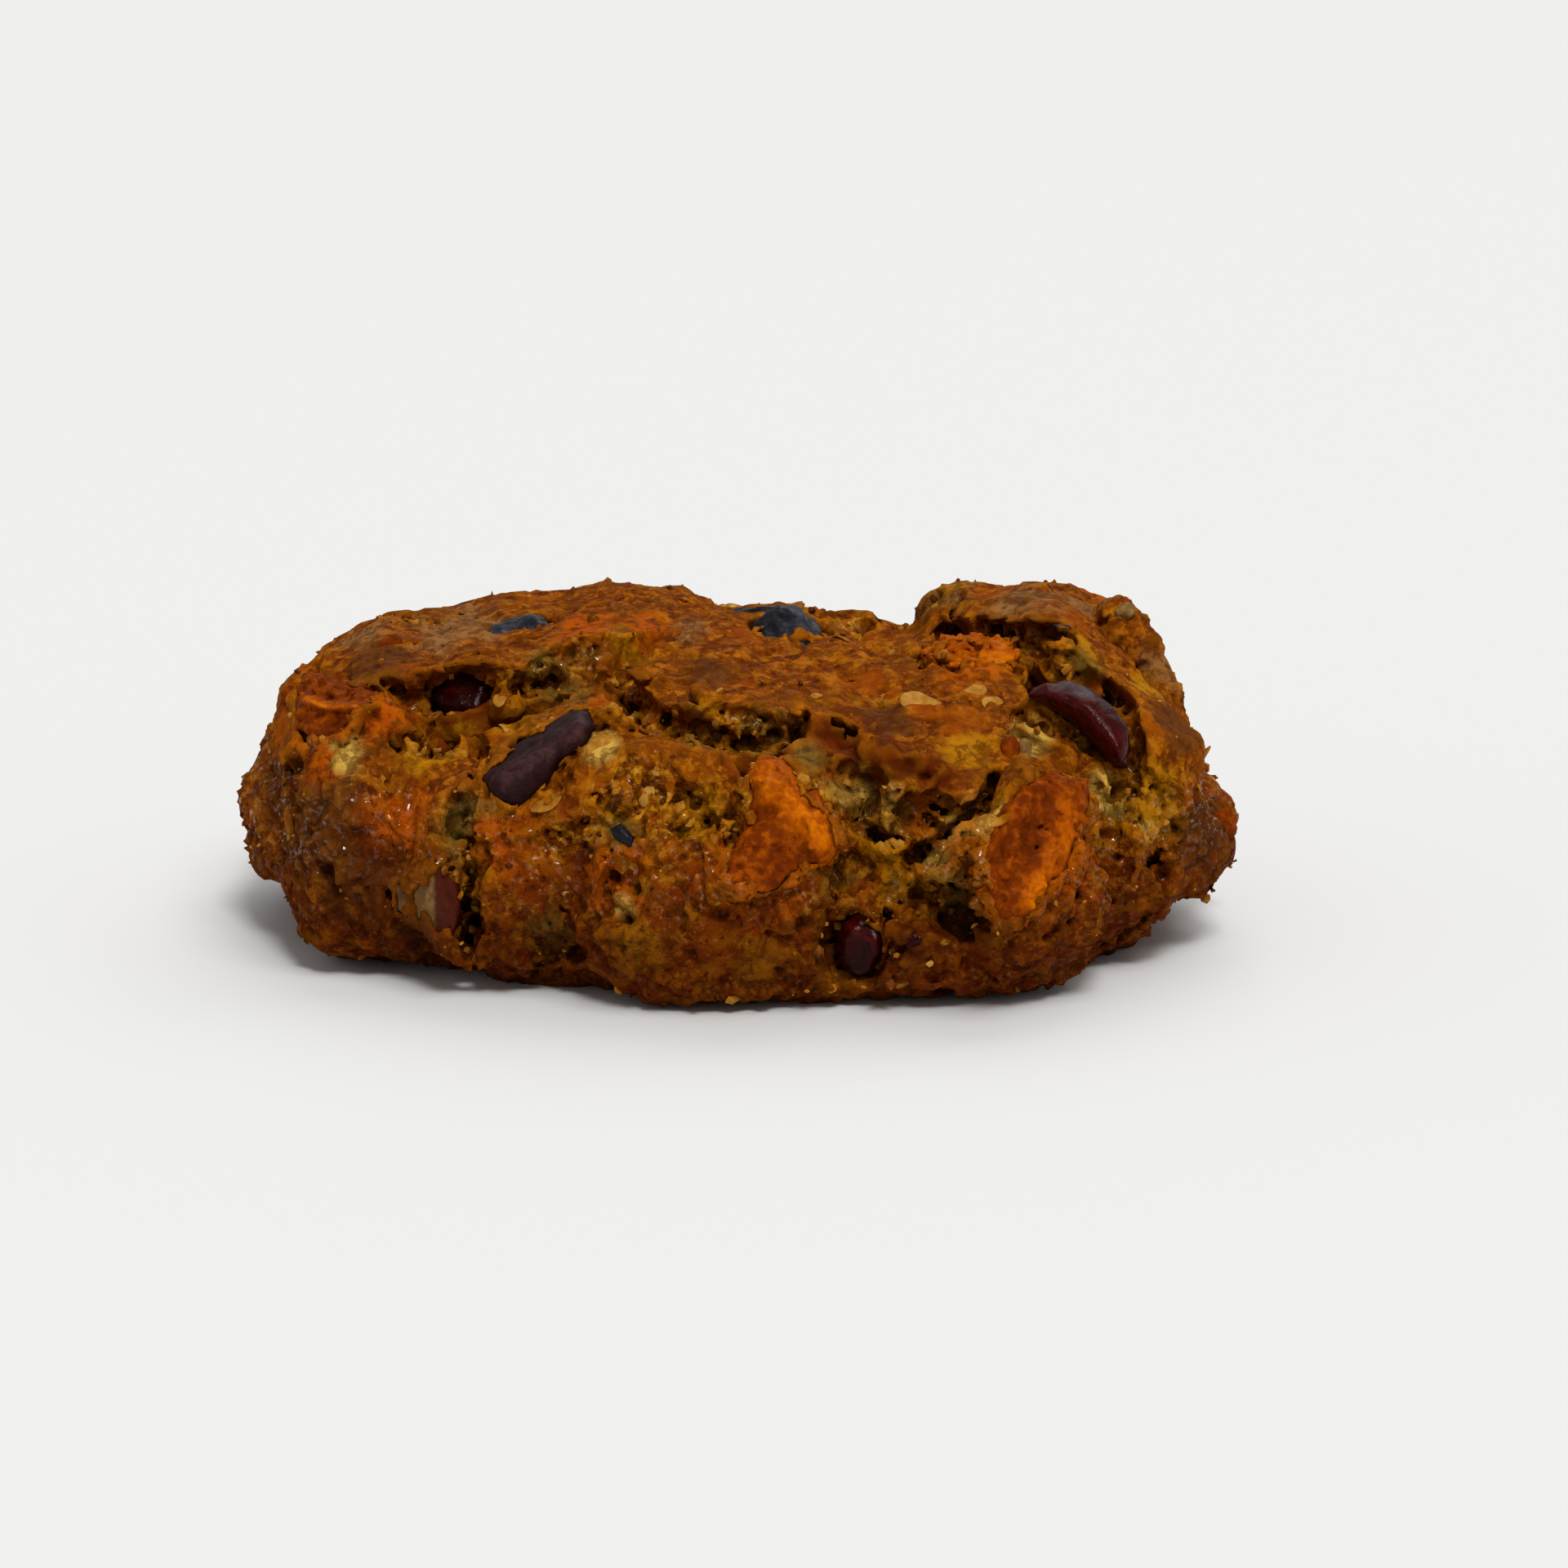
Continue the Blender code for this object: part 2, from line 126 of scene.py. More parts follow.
# How much dough lies around a place is a blur of the grid: a wide one of every second cell, and a close one.
# A pit has much dough close around it, an edge little, and a deep place much of it far around; pits and deep
# places get painted shade, and edges a lighter colour that is partly a painted highlight. The foot is darker,
# partly a browner baked bottom and partly painted shade, more so from the first height down to the second.
WIDE_STEP = 2
WIDE_BLUR = 4
CLOSE_BLUR = 2
PIT_SPAN = (0.58, 0.80)
EDGE_SPAN = (0.46, 0.30)
DEEP_SPAN = (0.61, 0.78)
FOOT_SPAN = (14.0, 3.5)

# Torn parts of the crust that the photograph shows: where they are seen, half length, half width and turn.
TORN_ZONES = (
    ((-27.6, 7.5), 4.4, 1.6, 12),
    ((-16.5, 10.3), 6.0, 1.7, 28),
    ((-10.3, 6.1), 4.4, 1.7, -22),
    ((-2.6, 4.7), 3.8, 1.7, -8),
    ((-25.9, -4.4), 3.6, 1.6, -80),
    ((-39.6, 0.3), 2.8, 1.0, -70),
    ((-37.0, 5.0), 2.6, 2.0, 0),
    ((-29.0, 3.4), 3.4, 1.3, -8),
    ((17.6, 12.0), 4.8, 1.0, -14),
    ((26.3, 6.4), 5.8, 1.5, -62),
    ((22.4, 9.6), 2.2, 1.4, -20),
    ((9.0, -1.7), 6.2, 3.1, -22),
    ((14.0, -10.4), 2.6, 1.9, -25),
    ((30.0, -2.2), 3.6, 2.3, -60),
    ((8.2, -8.8), 3.4, 2.5, 0),
    ((5.4, -13.4), 3.0, 3.1, 0),
    ((-10.2, -1.4), 5.0, 2.8, -20),
    ((-17.0, -4.4), 3.4, 1.6, 8),
    ((-13.0, -8.6), 2.0, 2.6, 0),
    ((-3.9, -3.0), 1.6, 2.4, 0),
    ((-25.8, -10.2), 4.2, 1.3, 90),
    ((-18.6, -13.6), 2.6, 1.4, 10),
)

# The hidden sides get more zones of random sizes. Each zone reaches that deep, and the share given to places
# that are in none of them is far out.
HIDDEN_ZONES = 22
HIDDEN_LENGTHS = (2.5, 6.0)
HIDDEN_WIDTHS = (0.9, 2.4)
HIDDEN_BEHIND = -4.0
ZONE_REACH = 3.5
FAR_OUT = 9.0

# Hollows that the photograph shows: where they are seen, half length, half width, depth and turn in the
# picture in degrees. They go straight in, along the line of sight.
HOLLOWS = (
    ((-26.4, 7.6), 3.3, 1.9, 7.0, 14),
    ((-31.0, 7.4), 3.0, 0.8, 3.6, -28),
    ((-24.8, 3.2), 2.0, 0.8, 2.4, 110),
    ((-18.4, 8.6), 3.2, 1.1, 4.4, 12),
    ((-12.6, 7.1), 2.8, 1.4, 6.5, -50),
    ((-10.2, 5.3), 3.0, 1.3, 6.5, -30),
    ((-5.8, 4.1), 2.6, 1.2, 6.0, -20),
    ((-1.6, 3.7), 2.6, 1.0, 5.0, -5),
    ((1.5, 5.0), 1.5, 0.7, 3.0, 80),
    ((6.0, 0.6), 3.4, 1.6, 3.4, -28),
    ((7.0, -1.9), 1.5, 0.9, 4.4, 35),
    ((8.4, -4.5), 2.4, 0.8, 4.6, -22),
    ((11.4, -2.6), 2.8, 2.2, 6.4, -30),
    ((11.2, -5.6), 1.6, 1.2, 8.0, 20),
    ((14.2, -3.6), 3.0, 1.0, 6.0, 42),
    ((16.6, -0.6), 1.8, 0.6, 4.4, 68),
    ((14.4, -10.8), 2.0, 1.4, 4.4, -20),
    ((5.4, -13.4), 2.7, 2.9, 4.4, 0),
    ((23.6, 5.4), 5.4, 2.2, 2.6, -36),
    ((25.8, 7.8), 3.6, 1.4, 7.0, -42),
    ((28.0, 3.6), 3.2, 1.1, 6.5, -78),
    ((26.9, -0.4), 1.6, 0.9, 3.0, -80),
    ((19.9, 11.1), 1.9, 1.0, 6.5, -25),
    ((16.4, 12.6), 3.8, 1.0, 5.6, -12),
    ((20.8, 12.3), 3.0, 1.0, 6.0, -12),
    ((29.6, -6.0), 1.7, 0.9, 1.6, 60),
    ((-26.0, -3.8), 3.2, 1.0, 2.6, -72),
    ((-25.6, -10.1), 3.6, 0.8, 6.0, 90),
    ((-39.4, 0.3), 2.0, 0.6, 2.4, -70),
    ((-40.0, -1.6), 1.2, 0.8, 1.8, 20),
    ((-3.7, -3.4), 1.5, 0.9, 4.4, 80),
    ((4.8, -7.0), 2.2, 0.9, 3.0, 80),
    ((-20.9, 4.2), 1.4, 0.6, 2.0, 60),
    ((-24.9, 2.4), 1.0, 0.8, 2.6, 60),
    ((-36.2, -8.6), 2.6, 0.7, 0.8, -60),
)

# The core of each hollow is cut once more after the crumb is added: what share of it, and how ragged.
HOLLOW_CORE = 0.85
HOLLOW_RAGGED = 0.5
CUT_NOISE = ((1.5, 1.0), (0.7, 0.7))

# How square lumps, hollows, holes and cracks are: 2 is an ellipsoid.
LUMP_POWER = 3.2
HOLLOW_POWER = 2.3
HOLE_POWER = 2.2
SPLIT_POWER = 2.0

# Lumps that stand out, given like the hollows, with how far they stand out. That share of a lump's
# thickness lies below this.
LUMP_SUNK = 0.7
LUMPS = (
    ((14.7, -4.6), 3.5, 1.0, 1.8, 42, 0.9),
    ((12.7, -6.4), 1.5, 1.1, 1.8, 0, 0.8),
    ((26.0, 0.6), 1.8, 0.7, 1.4, -50, 0.5),
    ((22.4, 3.2), 3.6, 0.6, 1.4, -36, 0.3),
    ((-13.6, 5.5), 2.7, 0.8, 1.8, -12, 1.0),
    ((28.5, -5.0), 2.6, 0.7, 1.4, 82, 0.4),
    ((-39.6, 7.7), 1.2, 0.8, 2.0, 20, 0.2),
    ((4.6, 5.0), 3.4, 0.9, 2.2, -22, 0.6),
    ((9.0, 2.6), 2.6, 0.9, 2.2, -30, 0.6),
    ((12.9, 1.2), 2.8, 1.3, 2.2, -50, 0.6),
    ((5.3, 0.2), 1.6, 1.3, 1.6, -30, -0.9),
    ((10.5, -2.2), 1.4, 1.2, 1.6, 10, -1.6),
    ((-11.0, 9.0), 4.4, 0.9, 2.0, -4, 0.6),
    ((-5.4, 6.8), 2.2, 0.9, 2.0, -50, 0.5),
    ((-27.4, 9.6), 4.6, 0.9, 2.0, 6, 0.5),
    ((-22.2, 6.6), 1.5, 2.0, 2.0, 0, 0.6),
    ((37.0, -2.6), 0.9, 1.1, 1.5, 10, 0.6),
    ((29.2, 12.8), 2.8, 1.7, 3.0, -55, 1.8),
    ((31.4, 9.8), 2.4, 1.3, 3.0, -60, 1.2),
    ((-27.8, -15.4), 2.6, 0.8, 1.8, -6, 0.3),
)

# Small holes that the photograph shows: where they are seen, half width, half height and depth. Each is cut
# in steps from a start above the surface, narrows by that share, and wanders.
HOLE_STEP = 0.4
HOLE_START = -0.5
HOLE_TAPER = 0.45
HOLE_WANDER = 0.16
HOLE_TURN = 40
HOLE_RAGGED = 0.15
HOLES = (
    ((-24.2, 2.3), 0.65, 0.9, 3.0),
    ((-32.0, -8.8), 0.5, 0.5, 1.8),
    ((-19.2, -3.9), 0.7, 0.35, 2.2),
    ((-15.6, -0.6), 0.4, 0.4, 1.6),
    ((-12.2, -8.4), 0.5, 1.0, 2.4),
    ((-16.9, -7.1), 0.35, 0.4, 1.6),
    ((-18.6, -14.0), 0.85, 0.8, 2.2),
    ((-14.0, -5.4), 0.35, 0.9, 1.8),
    ((-14.7, 11.0), 0.7, 0.5, 2.6),
    ((-6.6, -2.0), 0.6, 0.5, 2.0),
    ((-5.7, 3.8), 0.6, 0.5, 2.4),
    ((-3.2, 3.1), 0.4, 0.35, 1.8),
    ((10.9, -6.2), 0.9, 0.9, 4.0),
    ((6.7, -1.9), 0.7, 0.9, 3.0),
)

# Thin cracks that the photograph shows: their points as seen, half width and depth. They are cut in steps
# along and in, lean that much toward the line of sight, vary in width, narrow by that share, and wander.
SPLIT_STEP = 0.3
SPLIT_START = -0.6
SPLIT_STEP_IN = 0.35
SPLIT_LEAN = 0.6
SPLIT_WIDTHS = (0.6, 1.25)
SPLIT_TAPER = 0.5
SPLIT_WANDER = 0.07
SPLITS = (
    (((11.4, -8.0), (13.6, -8.3), (16.0, -9.5)), 0.36, 2.6),
    (((17.2, 1.3), (16.6, -0.2), (15.6, -2.0), (14.0, -3.8)), 0.55, 4.0),
    (((-2.4, -9.9), (-0.5, -10.0)), 0.25, 1.2),
    (((-15.5, 5.9), (-15.2, 4.4)), 0.16, 1.0),
    (((23.6, -14.0), (27.0, -12.6), (30.4, -10.2)), 0.3, 1.2),
    (((-32.6, 8.2), (-30.6, 6.8), (-28.8, 6.0)), 0.36, 2.4),
    (((3.6, 4.8), (5.8, 4.0), (6.6, 3.0)), 0.35, 1.8),
)

# Pieces of fruit whose outline the photograph shows: kind, outline as seen, how far they stand out and go
# in, how round their edges are, how far dough lies over their edge, and a ridge as its points, height and
# half width.
SHOWN_FRUIT = {
    "raisin_left": (
        "plum",
        (
            (-24.4, 0.5), (-23.4, 1.6), (-22.1, 2.7), (-20.2, 3.8), (-18.5, 4.8), (-17.2, 5.7),
            (-16.0, 5.8), (-15.6, 4.6), (-16.0, 3.1), (-17.2, 2.5), (-18.5, 1.0), (-19.6, 0.0),
            (-20.9, -1.0), (-22.1, -1.9), (-23.0, -1.2), (-23.8, -0.4),
        ),
        0.5, 4.0, 1.0, 0.0,
        (((-16.6, 4.4), (-19.4, 2.6), (-22.6, 0.2)), 1.5, 1.4),
    ),
    "cranberry_hollow": (
        "cranberry",
        (
            (-28.8, 6.9), (-27.8, 9.2), (-26.3, 9.5), (-23.9, 8.4), (-24.4, 6.9), (-24.7, 5.6),
            (-26.3, 5.9), (-27.8, 6.3),
        ),
        -2.8, 5.0, 0.8, 0.6,
        (((-27.6, 7.6), (-25.4, 7.8)), 0.5, 0.2),
    ),
    "apricot_middle": (
        "apricot",
        (
            (-2.6, 0.5), (-1.5, 1.8), (0.5, 1.0), (2.0, -0.6), (2.8, -1.7), (4.2, -3.0), (4.3, -4.1),
            (3.3, -6.0), (1.5, -7.1), (-1.8, -8.4), (-4.5, -8.2), (-3.7, -5.7), (-2.6, -3.9),
            (-2.3, -1.7),
        ),
        0.4, 4.5, 0.8, 0.0,
        (((-1.6, 0.6), (0.4, -1.2), (2.3, -3.2), (2.8, -4.8)), 1.3, 1.5),
    ),
    "apricot_right": (
        "apricot",
        (
            (20.1, -0.1), (21.9, 0.5), (23.8, -0.1), (24.4, -1.7), (24.0, -4.4), (23.3, -6.5),
            (21.7, -8.7), (20.6, -10.0), (19.0, -11.1), (17.1, -11.4), (16.3, -9.8), (16.0, -7.1),
            (16.0, -5.2), (17.6, -3.3), (19.0, -1.4),
        ),
        0.3, 4.5, 0.8, 0.0,
        (((23.2, -2.6), (22.3, -6.0), (20.8, -9.4)), 0.8, 1.4),
    ),
    "cranberry_right": (
        "cranberry",
        (
            (19.8, 7.2), (21.2, 8.0), (23.1, 8.1), (25.0, 7.4), (26.5, 6.2), (27.5, 4.8), (27.9, 3.0),
            (27.6, 1.5), (26.5, 1.7), (25.2, 3.6), (23.6, 5.0), (21.7, 6.2),
        ),
        0.6, 4.0, 1.3, 0.4,
        (((21.4, 7.1), (24.4, 6.2), (26.8, 3.0)), 1.0, 1.2),
    ),
    "cranberry_low": (
        "cranberry",
        (
            (4.3, -12.4), (4.9, -11.4), (6.1, -10.9), (7.3, -11.3), (8.1, -12.5), (8.0, -13.9),
            (7.2, -15.0), (6.0, -15.7), (5.0, -15.1), (4.4, -13.9),
        ),
        -0.9, 3.5, 0.9, 0.7,
        (((5.4, -11.8), (7.2, -12.8)), 0.5, 0.6),
    ),
    "apricot_upper": (
        "apricot",
        (
            (-38.8, 8.2), (-36.0, 8.4), (-34.0, 7.6), (-33.0, 6.4), (-34.4, 5.2), (-35.6, 4.2),
            (-37.6, 3.6), (-39.0, 4.6), (-39.6, 6.2),
        ),
        0.1, 4.0, 0.8, 0.0,
        (((-38.6, 6.8), (-36.8, 6.2), (-34.6, 6.2)), 0.9, 0.3),
    ),
    "apricot_slope": (
        "apricot",
        (
            (11.8, 10.4), (13.2, 11.3), (15.2, 11.6), (17.5, 11.0), (18.6, 10.2), (18.0, 9.5),
            (16.3, 9.7), (13.6, 9.9),
        ),
        -0.3, 3.0, 0.4, 0.0,
        (((13.0, 10.6), (15.4, 10.8), (17.8, 10.2)), 0.2, 1.8),
    ),
    "almond_left": (
        "almond",
        (
            (-31.2, -8.3), (-30.0, -7.3), (-28.3, -6.9), (-26.5, -6.4), (-26.4, -8.5), (-26.5, -11.1),
            (-27.2, -13.5), (-28.2, -12.6), (-29.6, -11.2), (-31.2, -10.0),
        ),
        0.1, 3.5, 0.4, 0.6,
        (((-28.0, -6.6), (-27.6, -10.0), (-27.3, -13.6)), 0.8, 1.6),
    ),
}

# How far the pieces go on under the dough, how ragged their outlines are, as (spacing, height) and as the
# share of each kind, the room left around a piece, how deep its ridge's foot reaches, and which share of its
# outline shows how steeply it lies. The coat of dough on a piece has a thickness and a ragged edge.
UNDER_DOUGH = 0.1
OUTLINE_RAGGED = ((1.7, 0.35), (0.7, 0.22))
RAGGED_SHARE = {"apricot": 1.0, "cranberry": 0.5, "plum": 0.4, "almond": 0.6}
PIECE_MARGIN = 1.2
RIDGE_FOOT = 1.5
INNER_SHARE = 0.5
COAT_THICKNESS = 0.16
COAT_RAGGED = (1.3, 0.8)

# Other pieces keep the form of their CAD node: how far they are sunk, and how much of their top stays bare.
SUNK = {"raisin_top": 0.2, "raisin_upper": 0.7, "apricot_side": 1.2}
USUALLY_SUNK = 0.2
BARE_TOP = {"raisin_upper": 0.8, "raisin_top": 1.6}
USUALLY_BARE = 1.2

# Kinds of fruit: how their wrinkles are stretched along the piece's length, width and thickness, and the
# wrinkles as (spacing, height, share of sharpness); how high sharp ones are; how far apart the crests of a
# piece without a ridge are, and between which values of the noise; and over which width the brown skin of an
# almond begins.
FRUIT_WRINKLES = {
    "raisin": ((0.6, 1, 1), ((1.6, 0.55, 0.8), (0.8, 0.24, 0.8))),
    "plum": ((1.5, 0.6, 0.6), ((2.0, 0.24, 0.2), (0.9, 0.08, 0.5))),
    "cranberry": ((0.6, 1, 1), ((3.0, 0.30, 0.3), (1.2, 0.10, 0.6))),
    "apricot": ((0.7, 1, 1), ((3.0, 0.80, 0.5), (1.3, 0.45, 0.8), (0.6, 0.22, 0.8))),
    "almond": ((0.6, 1, 1), ((2.6, 0.14, 0.3), (0.8, 0.06, 0.5))),
}
SHARP_HEIGHT = 0.5
CREST_SPACING = 3.0
CREST_SPAN = (-0.5, 0.5)
SKIN_BORDER = 0.4

# Random grains and pores of a kind of fruit, given like those of the dough, and how far the seeds of the
# pores are from those of the grains.
FRUIT_GRAINS = {"apricot": ((300, 0.16, 0.38), (120, 0.15, 0.35))}
PORE_SEEDS = 100

# The rough form of the cookie, used to tell which way is out at a piece of fruit, and how far each seat
# is moved inwards and grown when it is filled.
MOUND_SIZE = (40.0, 35.0, 13.0)
MOUND_LEVEL = 11.0
SEAT_SHIFT = 1.2
SEAT_GROWTH = 0.5

# Every so many cells are enough to find the directions of a piece.
INSIDE_STEP = 7

# Where the dough is tinted, as seen, with a radius: brown crust, which on the left side is partly painted
# shade, a painted sheen on tops, yellow, olive and pale crumb, and red and orange from the fruit.
TINTS = {
    # On the left side, the brown is partly a more baked crust and partly painted shade.
    "brown": (
        ((-33.0, 10.0), 3.6), ((-38.0, -3.4), 5.0), ((-34.0, -8.0), 4.0), ((-40.6, 0.0), 3.4),
        ((-30.0, -12.0), 3.0), ((34.4, -3.6), 4.4),
        ((32.0, 5.0), 3.0), ((14.6, 12.2), 2.6), ((8.0, 5.2), 2.4), ((-6.0, 8.8), 2.4),
    ),
    # A painted sheen on the upper surfaces of the cap and the lobes.
    "painted_sheen": (
        ((19.4, 15.2), 3.6), ((24.0, 14.8), 2.6), ((-26.5, 12.8), 4.4), ((-34.0, 12.0), 2.4),
        ((30.4, 10.4), 2.4), ((-8.0, 12.6), 2.2),
    ),
    "yellow": (
        ((29.8, -1.6), 3.4), ((24.0, 10.6), 1.8), ((20.4, 12.4), 1.8), ((-28.6, 3.0), 2.6),
        ((-27.0, 5.4), 1.8), ((-21.4, 5.6), 2.0), ((-7.0, -2.0), 2.6), ((-6.6, 5.6), 2.2),
        ((8.0, -4.8), 2.2), ((9.6, -8.0), 2.0), ((29.6, 7.6), 2.2), ((17.2, -2.0), 1.8),
        ((-12.4, 11.6), 2.4), ((-13.4, -3.4), 1.8), ((15.0, 3.0), 2.2), ((-24.6, -6.0), 1.6),
        ((4.6, -15.6), 2.2), ((-12.0, -13.4), 2.4), ((-2.6, -15.2), 2.2),
    ),
    "olive": (
        ((-18.3, 8.9), 3.4), ((-26.2, -3.6), 2.8), ((6.3, -0.6), 3.0), ((8.6, -2.0), 2.6),
        ((4.9, -8.0), 1.8), ((13.6, -9.2), 2.2), ((3.1, -13.4), 1.3), ((-1.2, 3.9), 2.8),
        ((1.8, 2.0), 1.8), ((24.5, 9.6), 1.8), ((26.9, -1.4), 1.4), ((-19.0, -12.4), 2.0),
        ((-6.8, 4.4), 2.0), ((-13.0, -3.6), 1.6), ((19.6, 11.4), 1.6),
    ),
    "pale": (
        ((14.9, -4.2), 2.8), ((12.7, -6.3), 2.2), ((16.6, -2.6), 1.6), ((5.4, 0.2), 2.0),
        ((26.0, -0.3), 1.8), ((-14.9, 3.3), 1.5),
        ((-35.2, 2.4), 1.6), ((19.9, 4.0), 1.6), ((7.6, -0.8), 1.4), ((10.6, -2.4), 1.3),
        ((-27.6, -15.0), 1.8), ((13.4, 12.6), 1.4), ((28.6, 12.6), 1.2), ((29.4, -3.8), 1.2),
        ((-13.0, -9.8), 1.2), ((-28.0, 3.4), 1.3),
    ),
    "red": (
        ((5.0, 3.6), 2.8), ((8.6, 2.0), 2.4), ((12.0, 0.6), 2.2), ((-26.3, 7.5), 3.6), ((-13.4, 8.6), 1.8),
        ((5.4, -13.4), 3.0), ((20.9, 12.8), 2.0), ((15.0, -11.2), 2.2), ((-39.0, 0.4), 2.2),
        ((-33.0, 5.2), 1.8), ((-33.0, -4.2), 2.8), ((10.4, -12.8), 1.8), ((-16.6, -6.8), 2.0),
    ),
    "orange": (
        ((-36.6, 4.6), 3.6), ((-32.0, 6.0), 2.4), ((-30.8, -3.4), 3.0), ((15.2, 10.7), 3.4),
        ((20.6, -5.4), 5.4), ((-1.4, -7.0), 4.4), ((-23.4, -4.6), 2.4), ((-16.4, 13.0), 2.6),
        ((-14.0, -7.6), 3.0), ((-37.0, 1.6), 2.0), ((-10.8, 12.8), 2.2),
    ),
}

# A spot reaches further toward and away from the eye than along the picture. Its edge is ragged and soft.
# The hidden sides get more spots of random sizes for each tint.
TINT_STRETCH = np.array((1.0, 1.0, 0.4), np.float32)
TINT_RAGGED = (1.4, 0.45)
TINT_EDGE = (0.45, 1.15)
TINTS_BEHIND = -13.0
HIDDEN_SPOTS = 14
HIDDEN_RADII = (1.2, 3.4)

# Oat flakes that the photograph shows: where they are seen, half length and turn in degrees; and how far
# their middles stand out. More lie about: how many, their half lengths, how deep and how tilted.
SHOWN_OATS = (
    ((11.2, 6.5), 1.75, -18), ((15.4, 7.3), 1.2, 30), ((-11.1, -1.1), 1.0, 52), ((17.0, 6.6), 0.9, 10),
    ((29.6, -3.8), 1.0, 0), ((11.6, -14.4), 0.8, 50), ((-14.9, 3.0), 1.4, 70), ((-27.4, 3.2), 1.0, 20),
    ((2.8, 7.0), 0.8, -20),
)
OAT_STANDS_OUT = -0.05
OAT_COUNT = 20
OAT_SIZES = (0.7, 1.6)
OAT_DEEPEST = -0.25
OAT_TILT = 0.25

# A flake of length 2: its half widths, thickness, crease, bend and waves.
OAT_WIDTHS = (0.45, 0.75)
OAT_THICKNESS = 0.11
OAT_ROUGHNESS = 0.34
OAT_CREASE = (0.05, 0.10)
OAT_BENDS = (-0.40, 0.15)
OAT_BEND_ACROSS = 0.6
OAT_WAVES = (0.45, 0.07)

# Crumbs: how many, the half size of the smallest and largest, how many shapes they have, how rough these are,
# how they are stretched, and how far they stand out as a share of their size.
CRUMB_COUNT = 1700
CRUMB_SIZES = (0.12, 0.55)
CRUMB_SHAPES = 12
CRUMB_ROUGHNESS = 0.35
CRUMB_STRETCH = (0.55, 1.3)
CRUMB_STANDS_OUT = (-0.35, 0.25)

# Crumbs are more often small than large, by that power.
CRUMB_POWER = 3

# Oats and crumbs lie above the foot and seldom in pits. Oats lie mostly on edges, and crumbs on torn dough.
FOOT_TOP = 1.0
KEPT_FROM_PITS = 0.8
OATS_OFF_EDGES = 0.4
CRUMBS_ON_CRUST = 0.35
CRUMBS_ON_TORN = 1.2

# The tones of the oats, of those that are seen and of the rest, and the colours of oats and crumbs, from dark
# to light.
SHOWN_OAT_TONES = (0.5, 1)
OAT_TONES = (0, 0.6)
OAT_STOPS = ((0.0, (0.22, 0.065, 0.004)), (0.5, (0.38, 0.150, 0.012)), (1.0, (0.56, 0.28, 0.050)))
CRUMB_STOPS = (
    (0.0, (0.060, 0.012, 0.0008)), (0.35, (0.210, 0.058, 0.0020)), (0.7, (0.400, 0.160, 0.0080)),
    (1.0, (0.420, 0.185, 0.0180)),
)

# Small bits of fruit and nut that the photograph shows: where they are seen, half length, half width,
# thickness and turn in degrees; how light each kind is; how rough; and the share of the thickness that is
# sunk. Nothing small reaches lower than the lowest place.
SHOWN_BITS = {
    "cranberry": (
        ((10.6, -12.6), 0.9, 0.6, 0.6, 30),
    ),
    "raisin": (
        ((-12.6, -4.2), 1.1, 0.7, 0.6, -40), ((22.7, 12.8), 0.7, 0.45, 0.5, 0),
    ),
    "apricot": (
        ((35.8, -3.0), 0.9, 1.2, 0.8, 0), ((27.5, 14.9), 0.7, 0.55, 0.6, 10),
        ((-27.6, 3.1), 1.1, 0.8, 0.7, -20), ((18.1, 2.9), 0.8, 1.1, 0.8, -10),
        ((-31.8, 11.4), 1.0, 0.85, 0.8, 20), ((-40.0, 7.6), 0.9, 0.8, 0.9, 0),
    ),
    "almond": (
        ((19.6, 2.8), 0.6, 1.2, 0.7, -20), ((27.4, 13.8), 0.8, 0.6, 0.5, 20),
        ((-28.2, -15.2), 2.0, 0.7, 0.8, -6),
    ),
}
BIT_TONES = {"cranberry": 0.2, "raisin": 0.2, "apricot": 0.1, "almond": 0.8}
BIT_ROUGHNESS = 0.42
BIT_SUNK = 0.6
LOWEST_PLACE = 0.02

# Oats, crumbs and bits start as balls: how finely they are divided, and their dents, as (spacing, height).
BALL_DETAIL = 3
CRUMB_DETAIL = 1
DENTS = ((1.1, 1.0), (0.5, 0.6))

# Light: how bright the surroundings are, and soft lights as name, side, height, width in degrees, strength
# and colour. The floor reaches that far to each side.
WORLD_STRENGTH = 0.34
SUNS = (
    ("key", 28, 58, 35, 0.95, (1.0, 0.99, 0.97)),
    ("top", 165, 50, 50, 0.70, (0.98, 0.99, 1.0)),
    ("spark", 10, 48, 14, 1.20, (1.0, 1.0, 1.0)),
)
FLOOR_REACH = 12000.0

# The random values of the noise repeat after that many cells.
NOISE_PERIOD = 32


# --- Where things are seen ---


def line_of_sight(across, up):
    """The eye and its direction, for what is seen that far from the middle of the view."""
    back = Vector((0, -math.cos(VIEW_ELEVATION), math.sin(VIEW_ELEVATION)))
    rise = Vector((0, math.sin(VIEW_ELEVATION), math.cos(VIEW_ELEVATION)))
    eye = VIEW_CENTRE + back * VIEW_DISTANCE
    target = VIEW_CENTRE + Vector((across, 0, 0)) + rise * up
    return eye, (target - eye).normalized()


def seen_on(tree, across, up):
    """The point of the surface that is seen there, and its outward normal."""
    eye, direction = line_of_sight(across, up)
    at, normal, _, _ = tree.ray_cast(eye, direction)
    if at is None:
        at, normal, _, _ = tree.find_nearest(eye + direction * VIEW_DISTANCE)
    return at, normal


def picture_axes():
    """The directions along the picture, up in it and toward the eye, as columns."""
    rise = (0, math.sin(VIEW_ELEVATION), math.cos(VIEW_ELEVATION))
    toward = (0, -math.cos(VIEW_ELEVATION), math.sin(VIEW_ELEVATION))
    return np.array([(1, 0, 0), rise, toward], np.float32).T


